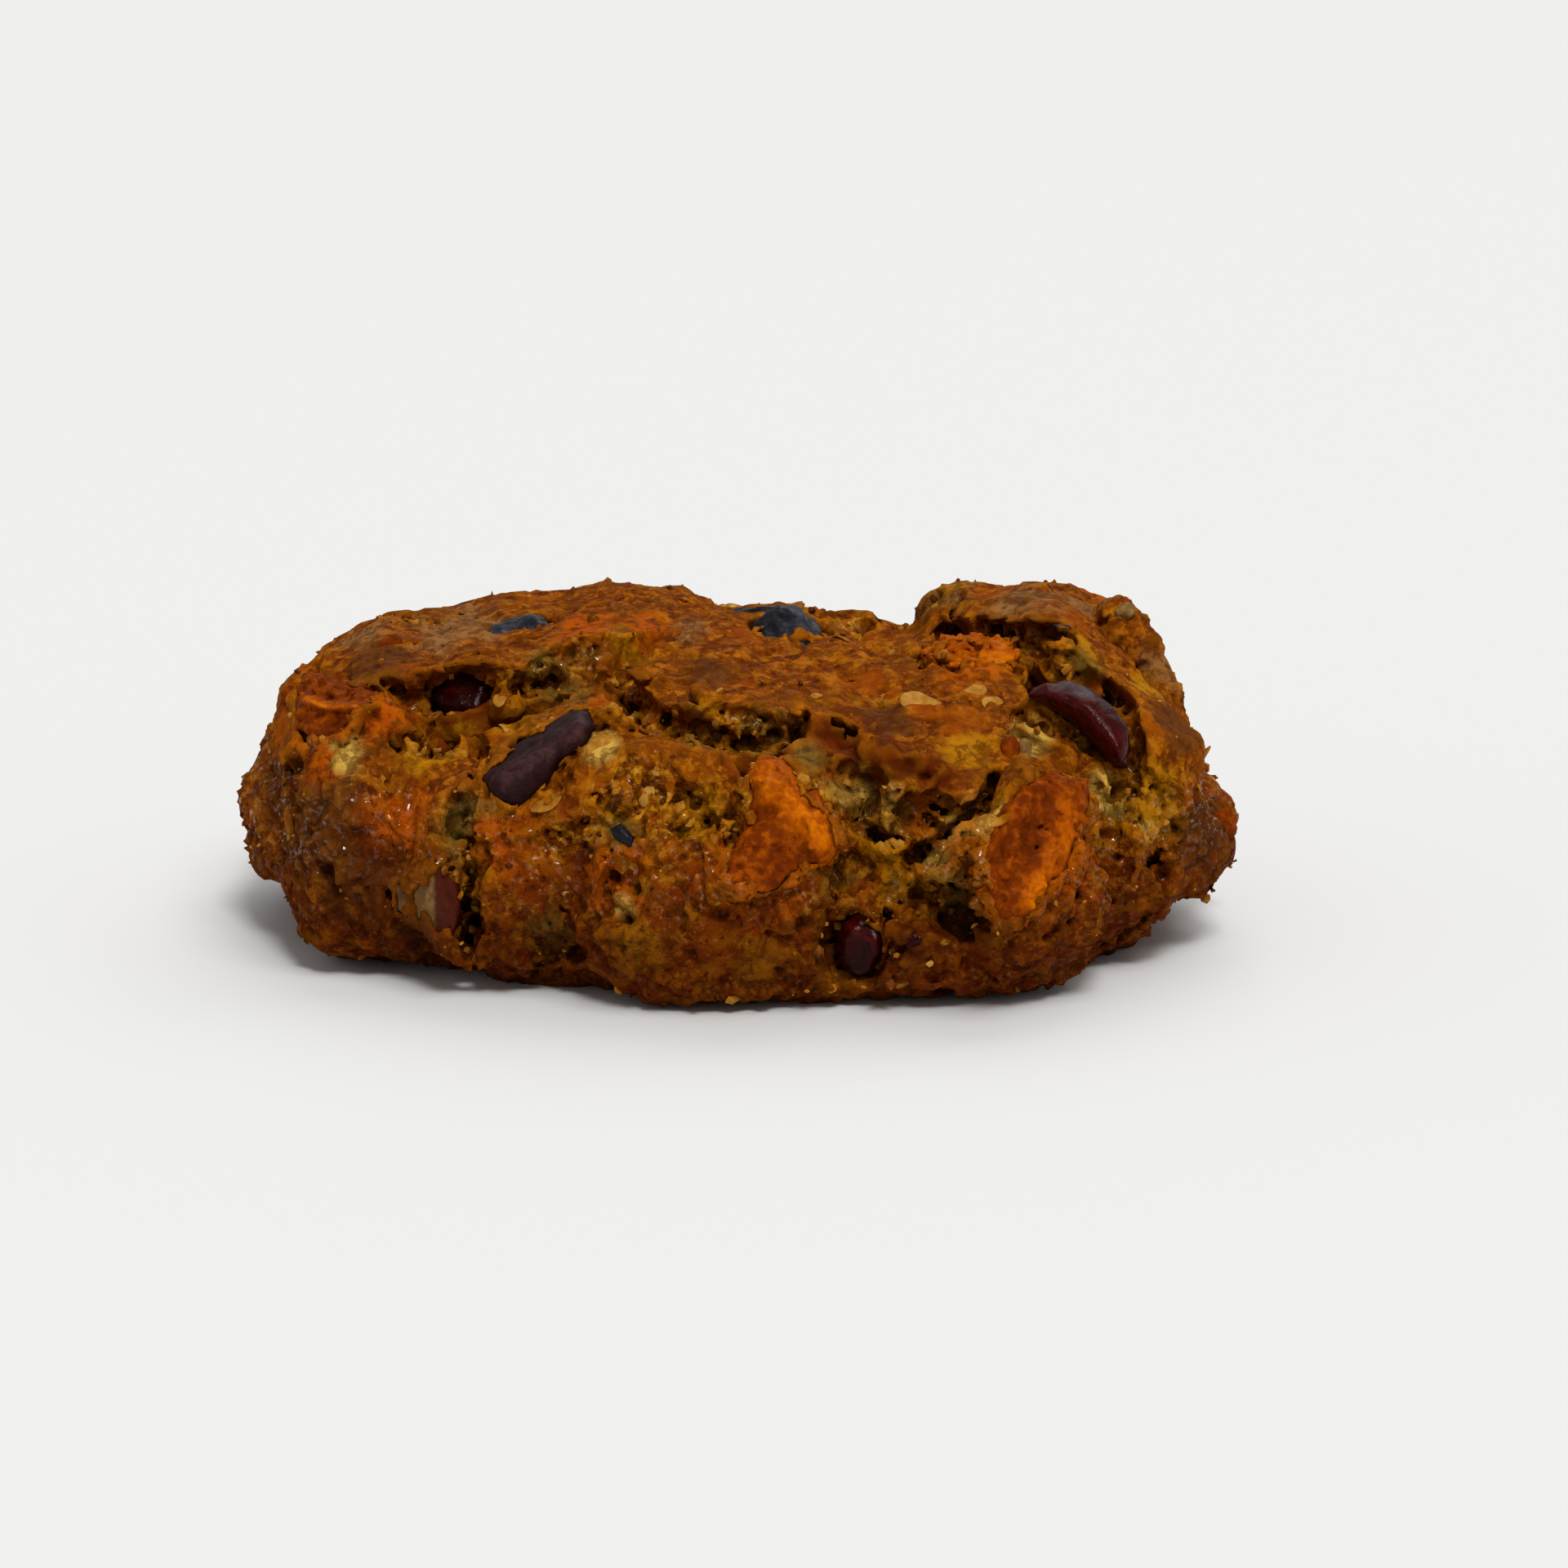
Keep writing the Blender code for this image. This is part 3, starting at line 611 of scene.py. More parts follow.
def in_picture(places):
    """Places as their distances along the picture, up in it and toward the eye."""
    return (np.asarray(places, np.float32) - np.array(VIEW_CENTRE, np.float32)) @ picture_axes()


def turned(angle):
    """Axes along and across something at that angle in the picture, and out of it, as columns."""
    return picture_axes() @ spun(angle)


def spun(angle):
    """A turn about the third axis by that many degrees."""
    return np.array(Matrix.Rotation(math.radians(angle), 3, "Z"), np.float32)


# --- Meshes as arrays ---


def mesh_arrays(mesh):
    """A mesh's points in millimetres and its triangles."""
    mesh.calc_loop_triangles()
    points = np.empty(len(mesh.vertices) * 3, np.float32)
    mesh.vertices.foreach_get("co", points)
    triangles = np.empty(len(mesh.loop_triangles) * 3, np.int32)
    mesh.loop_triangles.foreach_get("vertices", triangles)
    return points.reshape(-1, 3) / MM, triangles.reshape(-1, 3)


def search_tree(points, triangles):
    """A tree that finds where lines of sight meet a mesh."""
    return BVHTree.FromPolygons(points.tolist(), triangles.tolist(), all_triangles=True)


def make_object(name, points, triangles, material, smooth=True):
    """An object in metres from points in millimetres and triangles."""
    mesh = bpy.data.meshes.new(name)
    mesh.vertices.add(len(points))
    mesh.vertices.foreach_set("co", (points * MM).astype(np.float32).ravel())
    mesh.loops.add(triangles.size)
    mesh.loops.foreach_set("vertex_index", triangles.astype(np.int32).ravel())
    mesh.polygons.add(len(triangles))
    mesh.polygons.foreach_set("loop_start", np.arange(0, triangles.size, 3, dtype=np.int32))
    mesh.polygons.foreach_set("use_smooth", np.full(len(triangles), smooth))
    mesh.update(calc_edges=True)
    mesh.validate()
    mesh.materials.append(material)
    made = bpy.data.objects.new(name, mesh)
    bpy.context.scene.collection.objects.link(made)
    return made


def thinned(made, most):
    """Brings an object's mesh down to that many triangles."""
    count = len(made.data.polygons)
    if count <= most:
        return
    modifier = made.modifiers.new("thin_out", "DECIMATE")
    modifier.ratio = most / count
    graph = bpy.context.evaluated_depsgraph_get()
    mesh = bpy.data.meshes.new_from_object(made.evaluated_get(graph))
    made.modifiers.clear()
    made.data = mesh


def largest_body(points, triangles):
    """Only the largest connected part of a mesh, so that no crumb floats free."""
    label = np.arange(len(points))
    while True:
        lowest = label[triangles].min(axis=1)
        before = label.copy()
        for corner in range(3):
            np.minimum.at(label, triangles[:, corner], lowest)
        label = label[label]
        label = label[label]
        if (label == before).all():
            break
    kept = label == np.bincount(label).argmax()
    number = np.cumsum(kept) - 1
    return points[kept], number[triangles[kept[triangles[:, 0]]]]


def add_value(made, name, values):
    """Stores one number for each vertex, which a material reads by that name."""
    attribute = made.data.attributes.new(name, "FLOAT", "POINT")
    attribute.data.foreach_set("value", values.astype(np.float32))


# --- Noise and distance fields ---


def lattice_noise(places, spacing, seed, stretch=(1, 1, 1)):
    """Smooth random values from -1 to 1 at the places, with their lumps that far apart."""
    rng = np.random.default_rng(seed)
    values = rng.uniform(-1, 1, (NOISE_PERIOD,) * 3).astype(np.float32)
    turn = np.array(Euler(rng.uniform(0, 2 * math.pi, 3)).to_matrix(), np.float32)
    scaled = places * np.array(stretch, np.float32) / np.float32(spacing)
    moved = scaled @ turn + rng.uniform(0, NOISE_PERIOD, 3).astype(np.float32)
    cell = np.floor(moved).astype(np.int32)
    t = moved - cell
    t = t * t * (3 - 2 * t)
    result = np.zeros(len(places), np.float32)
    for corner in itertools.product((0, 1), repeat=3):
        at = (cell + corner) & (NOISE_PERIOD - 1)
        weight = np.ones(len(places), np.float32)
        for axis, high in enumerate(corner):
            weight *= t[:, axis] if high else 1 - t[:, axis]
        result += weight * values[at[:, 0], at[:, 1], at[:, 2]]
    return result


def cell_noise(places, spacing, seed):
    """Rounded lumps with creases between them, from 1 at a lump's middle to about -1 in the creases."""
    rng = np.random.default_rng(seed)
    middles = rng.uniform(0.15, 0.85, (NOISE_PERIOD,) * 3 + (3,)).astype(np.float32)
    turn = np.array(Euler(rng.uniform(0, 2 * math.pi, 3)).to_matrix(), np.float32)
    moved = (places / np.float32(spacing)) @ turn
    cell = np.floor(moved - 0.5).astype(np.int32)
    within = moved - cell
    nearest = np.full(len(places), 9.0, np.float32)
    for step in itertools.product((0, 1), repeat=3):
        at = (cell + step) & (NOISE_PERIOD - 1)
        apart = middles[at[:, 0], at[:, 1], at[:, 2]] + np.array(step, np.float32) - within
        np.minimum(nearest, np.einsum("ij,ij->i", apart, apart), out=nearest)
    return 1 - 2 * np.sqrt(nearest)


def ridged(noise):
    """Turns smooth noise into sharp ridges, still from -1 to 1."""
    return 1 - 2.6 * np.abs(noise)


def ridged_noise(places, spacing, seed):
    """Random ridges that far apart."""
    return ridged(lattice_noise(places, spacing, seed))


def add_layers(total, places, layers, seed, share=1.0, noise=lattice_noise):
    """Adds that share of layers of noise, each given as (spacing, height), to the total."""
    for number, (spacing, height) in enumerate(layers):
        total += height * share * noise(places, spacing, seed + number)
    return total


def smooth_step(values, low, high):
    """How far values are from low to high, from 0 to 1, with a smooth start and end."""
    t = np.clip((values - low) / (high - low), 0, 1)
    return t * t * (3 - 2 * t)


def blurred(values, radius):
    """The values averaged over a box of that many cells each way, twice."""
    width = 2 * radius + 1
    for axis in range(3):
        for _ in range(2):
            pads = [(0, 0)] * 3
            pads[axis] = (radius + 1, radius)
            total = np.cumsum(np.pad(values, pads, mode="edge"), axis=axis, dtype=np.float64)
            high = np.take(total, range(width, total.shape[axis]), axis=axis)
            low = np.take(total, range(0, total.shape[axis] - width), axis=axis)
            values = ((high - low) / width).astype(np.float32)
    return values


class Field:
    """Distances from a closed surface on a grid, in millimetres: negative inside it."""

    def __init__(self, points, triangles, voxel, room):
        self.voxel = voxel
        self.far = BAND_VOXELS * voxel
        grid = openvdb.FloatGrid.createLevelSetFromPolygons(
            np.ascontiguousarray(points, np.float32),
            triangles=np.ascontiguousarray(triangles, np.uint32),
            transform=openvdb.createLinearTransform(voxelSize=voxel),
            halfWidth=BAND_VOXELS,
        )
        low, high = grid.evalActiveVoxelBoundingBox()
        self.low = np.array(low) - room
        self.values = np.full(np.array(high) + room - self.low + 1, self.far, np.float32)
        grid.copyToArray(self.values, ijk=tuple(int(i) for i in self.low))

    @classmethod
    def of_values(cls, low, values, voxel):
        """A field from distances that are already known, on a grid whose first cell is low."""
        field = cls.__new__(cls)
        field.voxel = voxel
        field.far = BAND_VOXELS * voxel
        field.low = np.array(low)
        field.values = values.astype(np.float32)
        return field

    def near(self, limit):
        """The indices of the cells that near to the surface, and their places."""
        index = np.nonzero(np.abs(self.values) < limit)
        places = (np.stack(index, axis=1) + self.low) * self.voxel
        return index, places.astype(np.float32)

    def read(self, values, places, step=1):
        """Values from a grid like this one, of which every so many cells were kept, at the places."""
        cell = (places / self.voxel - self.low) / step
        start = np.clip(np.floor(cell).astype(np.int32), 0, np.array(values.shape) - 2)
        t = np.clip(cell - start, 0, 1)
        result = np.zeros(len(places), np.float32)
        for corner in itertools.product((0, 1), repeat=3):
            at = start + corner
            weight = np.prod(np.where(corner, t, 1 - t), axis=1)
            result += weight * values[at[:, 0], at[:, 1], at[:, 2]]
        return result

    def stamp(self, centre, radii, turn, power, cut=False, ragged=0.0):
        """Adds a rounded lump to the solid, or cuts one from it, with sides as ragged as that."""
        reach = max(radii) + 2 * self.voxel
        low = np.maximum(np.floor((centre - reach) / self.voxel).astype(int) - self.low, 0)
        high = np.ceil((centre + reach) / self.voxel).astype(int) - self.low + 1
        high = np.minimum(high, self.values.shape)
        if (high <= low).any():
            return
        axes = [
            (np.arange(low[i], high[i]) + self.low[i]) * self.voxel - centre[i]
            for i in range(3)
        ]
        place = np.stack(np.meshgrid(*axes, indexing="ij"), axis=-1) @ turn
        size = (np.abs(place / radii) ** power).sum(axis=-1) ** (1 / power)
        distance = ((size - 1) * min(radii)).astype(np.float32)
        if ragged:
            flat = place.reshape(-1, 3).astype(np.float32)
            noise = add_layers(np.zeros(len(flat), np.float32), flat, CUT_NOISE, SEEDS["cut_sides"])
            distance += ragged * noise.reshape(distance.shape)
        block = self.values[low[0] : high[0], low[1] : high[1], low[2] : high[2]]
        if cut:
            np.maximum(block, -distance, out=block)
        else:
            np.minimum(block, distance, out=block)

    def join(self, other):
        """Adds the solid of another field, whose cells are as large, to this one."""
        offset = other.low - self.low
        low = np.maximum(offset, 0)
        high = np.minimum(offset + other.values.shape, self.values.shape)
        if (high <= low).any():
            return
        mine = tuple(slice(a, b) for a, b in zip(low, high, strict=True))
        theirs = tuple(slice(a, b) for a, b in zip(low - offset, high - offset, strict=True))
        block = self.values[mine]
        np.minimum(block, other.values[theirs], out=block)

    def combine_fine(self, other, rule):
        """Combines this field with one of finer cells, by a rule for their two distances."""
        reach = other.values.shape * np.array(other.voxel)
        start = other.low * other.voxel
        low = np.maximum(np.ceil(start / self.voxel).astype(int) - self.low, 0)
        high = np.floor((start + reach) / self.voxel).astype(int) - self.low
        high = np.minimum(high, self.values.shape)
        index = np.stack(np.meshgrid(*map(np.arange, low, high), indexing="ij"), axis=-1)
        places = ((index + self.low) * self.voxel).reshape(-1, 3)
        theirs = other.read(other.values, places).reshape(index.shape[:3])
        block = self.values[low[0] : high[0], low[1] : high[1], low[2] : high[2]]
        block[...] = rule(block, theirs)

    def surface(self):
        """The points and triangles of the surface."""
        grid = openvdb.FloatGrid(self.far)
        grid.transform = openvdb.createLinearTransform(voxelSize=self.voxel)
        values = np.clip(self.values, -self.far, self.far)
        grid.copyFromArray(values, ijk=tuple(int(i) for i in self.low))
        points, quads = grid.convertToQuads(isovalue=0.0)
        triangles = np.concatenate([quads[:, [0, 1, 2]], quads[:, [0, 2, 3]]]).astype(np.int64)
        corners = points[triangles]
        normals = np.cross(corners[:, 1] - corners[:, 0], corners[:, 2] - corners[:, 0])
        if np.einsum("ij,ij->i", corners[:, 0], normals).sum() < 0:
            triangles = triangles[:, ::-1]
        return points, triangles


# --- Materials ---


class Finish:
    """A Principled material, put together by short calls. Sizes of patterns are in millimetres."""

    def __init__(self, name, settings):
        self.material = bpy.data.materials.new(name)
        self.material.use_nodes = True
        self.tree = self.material.node_tree
        self.shader = self.tree.nodes["Principled BSDF"]
        for socket, value in settings.items():
            self.shader.inputs[socket].default_value = value
        self.place = self.tree.nodes.new("ShaderNodeTexCoord").outputs["Object"]

    def add(self, kind, inputs, output=0, **settings):
        """A node with its inputs linked or set, given as that one of its outputs."""
        node = self.tree.nodes.new(kind)
        for name, value in settings.items():
            setattr(node, name, value)
        for socket, value in inputs.items():
            if isinstance(value, bpy.types.NodeSocket):
                self.tree.links.new(value, node.inputs[socket])
            else:
                node.inputs[socket].default_value = value
        return node.outputs[output]

    def noise(self, size, detail=2.0, distortion=0.0):
        inputs = {
            "Vector": self.place, "Scale": 1 / (size * MM), "Detail": detail,
            "Roughness": 0.6, "Distortion": distortion,
        }
        return self.add("ShaderNodeTexNoise", inputs)

    def cell_tone(self, size):
        """A random grey for each ragged grain of that size."""
        shift = self.add("ShaderNodeTexNoise", {"Vector": self.place, "Scale": 1 / (0.6 * size * MM)}, 1)
        inputs = {0: shift, 1: (0.7 * size * MM,) * 3, 2: self.place}
        moved = self.add("ShaderNodeVectorMath", inputs, operation="MULTIPLY_ADD")
        cells = self.add("ShaderNodeTexVoronoi", {"Vector": moved, "Scale": 1 / (size * MM)}, 1)
        return self.add("ShaderNodeSeparateColor", {"Color": cells}, 0)

    def value(self, name):
        """A number stored on the mesh."""
        return self.add("ShaderNodeAttribute", {}, "Fac", attribute_name=name)

    def span(self, value, low, high, to_low=0.0, to_high=1.0):
        """The value taken smoothly from one span to another."""
        inputs = {
            "Value": value, "From Min": low, "From Max": high, "To Min": to_low, "To Max": to_high,
        }
        return self.add("ShaderNodeMapRange", inputs, interpolation_type="SMOOTHSTEP")

    def maths(self, operation, first, second):
        return self.add("ShaderNodeMath", {0: first, 1: second}, operation=operation)

    def times(self, first, second):
        return self.maths("MULTIPLY", first, second)

    def colours(self, value, stops):
        """Colours along a ramp: each stop is a place from 0 to 1 and a colour."""
        output = self.add("ShaderNodeValToRGB", {"Fac": value})
        elements = output.node.color_ramp.elements
        while len(elements) < len(stops):
            elements.new(0.5)
        for element, (position, colour) in zip(elements, stops, strict=True):
            element.position = position
            element.color = (*colour, 1.0)
        return output

    def blend(self, factor, first, second, mode="MIX"):
        first, second = ((*each, 1.0) if isinstance(each, tuple) else each for each in (first, second))
        inputs = {0: factor, 6: first, 7: second}
        return self.add("ShaderNodeMix", inputs, 2, data_type="RGBA", blend_type=mode)

    def bump(self, height, depth, strength=1.0, normal=None):
        inputs = {"Height": height, "Distance": depth * MM, "Strength": strength}
        if normal:
            inputs["Normal"] = normal
        return self.add("ShaderNodeBump", inputs)

    def use(self, **sockets):
        """Links the shader's inputs, and gives the finished material."""
        for name, value in sockets.items():
            self.tree.links.new(value, self.shader.inputs[name.replace("_", " ")])
        return self.material


# The dough's colours: the tints, in the order that they are laid over each other; the ramps of crust and of
# torn crumb; the shades that vary both; a lighter orange for edges, partly a painted highlight; the painted
# shade of pores, pits and deep places; and a factor for the foot, partly painted shade.
TINT_COLOURS = {
    "brown": (0.130, 0.036, 0.0055),
    "painted_sheen": (0.280, 0.120, 0.0330),
    "yellow": (0.430, 0.165, 0.0020),
    "olive": (0.165, 0.092, 0.0130),
    "red": (0.120, 0.016, 0.0006),
    "orange": (0.420, 0.074, 0.0006),
    "pale": (0.620, 0.370, 0.0620),
}
CRUST_STOPS = (
    (0.26, (0.075, 0.012, 0.0005)),
    (0.42, (0.140, 0.028, 0.0006)),
    (0.55, (0.215, 0.049, 0.0008)),
    (0.72, (0.380, 0.115, 0.0025)),
)
TORN_STOPS = (
    (0.30, (0.070, 0.012, 0.0005)),
    (0.43, (0.170, 0.038, 0.0008)),
    (0.56, (0.320, 0.090, 0.0015)),
    (0.72, (0.620, 0.270, 0.0140)),
)
CRUST_ORANGE = (0.330, 0.062, 0.0006)
CRUST_BROWN = (0.150, 0.036, 0.0012)
CRUST_RED = (0.230, 0.036, 0.0006)
CRUST_YELLOW = (0.340, 0.120, 0.0020)
TORN_ORANGE = (0.300, 0.058, 0.0006)
TORN_YELLOW = (0.450, 0.190, 0.0040)
FLECK_COLOUR = (0.600, 0.290, 0.0200)
EDGE_ORANGE_AND_HIGHLIGHT = (0.500, 0.170, 0.0030)
PAINTED_SHADE_COLOUR = (0.022, 0.0045, 0.0004)
FOOT_BAKE_AND_SHADE = (0.50, 0.38, 0.35)
TINT_SHADE = 0.5


def dough_material():
    """Baked crust and torn crumb: golden, orange and red-brown grains, pale flecks, and pores in painted
    shade.
    """
    look = Finish("dough_look", {"Specular IOR Level": 0.03, "Coat Roughness": 0.12, "Coat IOR": 1.5})

    # The tone at which both ramps are read: patches, grains and fine noise.
    broad = look.noise(5.0, 3.0)
    patchy = look.noise(1.5, 3.0, 0.4)
    fine = look.noise(0.50, 3.0, 0.6)
    grains = look.cell_tone(0.75)
    tone = look.maths("ADD", patchy, look.span(grains, 0.0, 1.0, -0.11, 0.11))
    tone = look.maths("ADD", tone, look.span(fine, 0.25, 0.75, -0.10, 0.10))

    # Crust and torn crumb, each with shades of its own; a calm crust varies less.
    crust = look.colours(tone, CRUST_STOPS)
    crust = look.blend(look.span(broad, 0.54, 0.66, 0.0, 0.6), crust, CRUST_ORANGE)
    crust = look.blend(look.span(broad, 0.46, 0.36, 0.0, 0.5), crust, CRUST_BROWN)
    crumb = look.colours(tone, TORN_STOPS)
    hue = look.noise(1.9, 3.0, 0.5)
    crumb = look.blend(look.span(hue, 0.55, 0.63, 0.0, 0.6), crumb, TORN_ORANGE)
    crumb = look.blend(look.span(hue, 0.45, 0.38, 0.0, 0.5), crumb, TORN_YELLOW)
    calm = look.value("calm")
    front = look.span(calm, 0.0, 1.0, 0.7, 0.2)
    crust = look.blend(look.times(front, look.span(hue, 0.52, 0.62)), crust, CRUST_RED)
    crust = look.blend(look.times(front, look.span(hue, 0.44, 0.36)), crust, CRUST_YELLOW)
    colour = look.blend(look.value("torn"), crust, crumb)

    # Pale flecks, the tints, lighter edges that are partly a painted highlight, and a darker foot that is
    # partly painted shade.
    flecks = look.times(look.span(fine, 0.60, 0.70), look.span(calm, 0.0, 1.0, 0.45, 0.2))
    colour = look.blend(flecks, colour, FLECK_COLOUR)
    # One tint is a painted sheen on tops, and the brown one is partly painted shade on the left side.
    for tint, shade in TINT_COLOURS.items():
        tinted = look.blend(look.span(tone, 0.35, 0.65), tuple(TINT_SHADE * part for part in shade), shade)
        share = look.times(look.value(tint), look.span(tone, 0.34, 0.50, 0.6, 1.0))
        colour = look.blend(share, colour, tinted)
    # Lighter edges: partly the orange of broken rims, partly a painted highlight.
    colour = look.blend(look.times(look.value("edge"), 0.2), colour, EDGE_ORANGE_AND_HIGHLIGHT)
    # A darker foot: partly a browner baked bottom, partly painted shade.
    colour = look.blend(look.value("foot"), colour, FOOT_BAKE_AND_SHADE, "MULTIPLY")

    # Painted shade: dark spots for pores, and darkening in pits and depths, less so where the crumb is pale.
    dark = look.times(look.span(fine, 0.39, 0.30), look.span(calm, 0.0, 1.0, 1.0, 0.3))
    dark = look.maths("MAXIMUM", dark, look.value("pit"))
    dark = look.maths("MAXIMUM", dark, look.times(look.value("deep"), 0.55))
    dark = look.times(dark, look.span(look.value("pale"), 0.0, 1.0, 0.8, 0.3))
    colour = look.blend(dark, colour, PAINTED_SHADE_COLOUR)

    # A dull, uneven surface with small wet spots, except where shade is painted, on the calm top and at the
    # foot.
    rough = look.span(look.noise(0.55, 2.0), 0.35, 0.60, 0.60, 1.0)
    uneven = look.span(calm, 0.0, 1.0, 1.0, 0.4)
    normal = look.bump(look.noise(0.45, 5.0, 0.6), 0.28, uneven)
    normal = look.bump(grains, 0.10, 0.5, normal)
    wet = look.span(look.noise(0.5, 2.0), 0.565, 0.615, 0.0, 0.9)
    wet = look.times(wet, look.span(dark, 0.0, 1.0, 1.0, 0.1))
    wet = look.times(wet, look.span(calm, 0.0, 0.8, 1.0, 0.0))
    wet = look.times(wet, look.span(look.value("foot"), 0.1, 0.8, 1.0, 0.1))
    return look.use(Base_Color=colour, Roughness=rough, Normal=normal, Coat_Weight=wet)


def grain_material(name, stops):
    """The finish of oats and crumbs: each has a tone of its own."""
    look = Finish(name, {"Specular IOR Level": 0.08})
    tone = look.maths("ADD", look.value("tone"), look.span(look.noise(0.7, 3.0), 0.3, 0.7, -0.25, 0.25))
    colour = look.colours(tone, stops)
    normal = look.bump(look.noise(0.30, 3.0), 0.08, 0.8)
    rough = look.span(look.noise(0.9, 2.0), 0.35, 0.65, 0.45, 0.80)
    return look.use(Base_Color=colour, Roughness=rough, Normal=normal)


def fruit_material(kind):
    """The finish of one kind of fruit: its colours from dark to light, its gloss and its skin."""
    stops, settings, skin = FRUIT_LOOKS[kind]
    look = Finish(kind + "_look", settings)
    # Painted light: the tone rises on the raised parts of the wrinkles, with painted shade in their creases,
    # and along the crest of a shown piece's ridge as a painted highlight; elsewhere the crest is random tone.
    tone = look.span(look.noise(0.8, 4.0, 0.3), 0.3, 0.7, 0.05, 0.40)
    tone = look.maths("ADD", tone, look.times(look.value("crest"), 0.40))
    tone = look.maths("ADD", tone, look.times(look.value("high"), 0.35))
    colour = look.colours(tone, stops)
    if kind == "almond":
        colour = look.blend(look.value("skin"), colour, look.colours(tone, ALMOND_SKIN))
    normal = look.bump(look.noise(skin, 3.0, 0.4), 0.12, 0.7)
    rough = settings["Roughness"]
    gloss = look.span(look.noise(1.2, 2.0), 0.35, 0.65, rough * 0.75, min(1.0, rough * 1.35))
    return look.use(Base_Color=colour, Roughness=gloss, Normal=normal)


# The finish of each kind of fruit: its colours, its settings and how fine its skin is, in millimetres.
ALMOND_SKIN = ((0.1, (0.018, 0.0022, 0.0008)), (0.8, (0.090, 0.011, 0.0022)))
FRUIT_LOOKS = {
    "raisin": (
        ((0.1, (0.003, 0.002, 0.004)), (0.5, (0.008, 0.007, 0.011)), (0.9, (0.032, 0.034, 0.052))),
        {"Roughness": 0.34, "Specular IOR Level": 0.16},
        0.35,
    ),
    "plum": (
        ((0.1, (0.010, 0.0026, 0.0030)), (0.5, (0.025, 0.0070, 0.0075)), (0.9, (0.070, 0.025, 0.026))),
        {"Roughness": 0.55, "Specular IOR Level": 0.08},
        0.30,
    ),
    "cranberry": (
        ((0.1, (0.012, 0.0006, 0.0004)), (0.5, (0.038, 0.0016, 0.001)), (0.9, (0.090, 0.005, 0.002))),
        {"Roughness": 0.18, "Specular IOR Level": 0.09},
        0.60,
    ),
    "apricot": (
        (
            (0.0, (0.080, 0.011, 0.0003)), (0.30, (0.180, 0.028, 0.0004)), (0.6, (0.400, 0.078, 0.0006)),
            (1.0, (0.720, 0.190, 0.0010)),
        ),
        {"Roughness": 0.55, "Specular IOR Level": 0.02},
        0.28,
    ),
    "almond": (
        ((0.0, (0.090, 0.034, 0.007)), (0.45, (0.170, 0.080, 0.018)), (0.9, (0.400, 0.230, 0.070))),
        {"Roughness": 0.50, "Specular IOR Level": 0.08},
        0.30,
    ),
}


# --- Fruit and nuts ---


def way_distance(way, places):
    """How far flat places are from a line through points."""
    nearest = np.full(len(places), 1e6, np.float32)
    for start, end in zip(way, way[1:], strict=False):
        along = end - start
        share = np.clip((places - start) @ along / (along @ along), 0, 1)
        apart = places - start - share[:, None] * along
        np.minimum(nearest, np.hypot(apart[:, 0], apart[:, 1]), out=nearest)
    return nearest


def crest_share(way, half_width, places):
    """How near places, as in the picture, are to the crest of a ridge, from 0 to 1."""
    return np.exp(-((way_distance(way, places[:, :2]) / half_width) ** 2))


def outline_distance(outline, places):
    """How far flat places are outside a closed outline: negative inside it."""
    closed = np.concatenate([outline, outline[:1]])
    inside = np.zeros(len(places), bool)
    for start, end in zip(closed, closed[1:], strict=False):
        crosses = (start[1] > places[:, 1]) != (end[1] > places[:, 1])
        rise = end[1] - start[1] if end[1] != start[1] else 1e-9
        at = start[0] + (places[:, 1] - start[1]) / rise * (end[0] - start[0])
        inside ^= crosses & (places[:, 0] < at)
    return np.where(inside, -1, 1) * way_distance(closed, places)


def laid_on(tree, way):
    """Points as seen, where they lie on the surface, in the axes of the picture."""
    return in_picture([seen_on(tree, *point)[0] for point in way])


def grid_places(low, shape, voxel):
    """The places of all the cells of a grid, in order."""
    places = (np.stack(np.indices(shape), axis=-1).reshape(-1, 3) + low) * voxel
    return places.astype(np.float32)


def block_round(near, far):
    """The first cell and the shape of a fine grid round a box in the axes of the picture."""
    corners = np.array([near, far])
    box = np.array(list(itertools.product(*corners.T))) @ picture_axes().T + np.array(VIEW_CENTRE)
    low = np.floor(box.min(axis=0) / FRUIT_VOXEL).astype(int)
    return low, np.ceil(box.max(axis=0) / FRUIT_VOXEL).astype(int) - low + 1


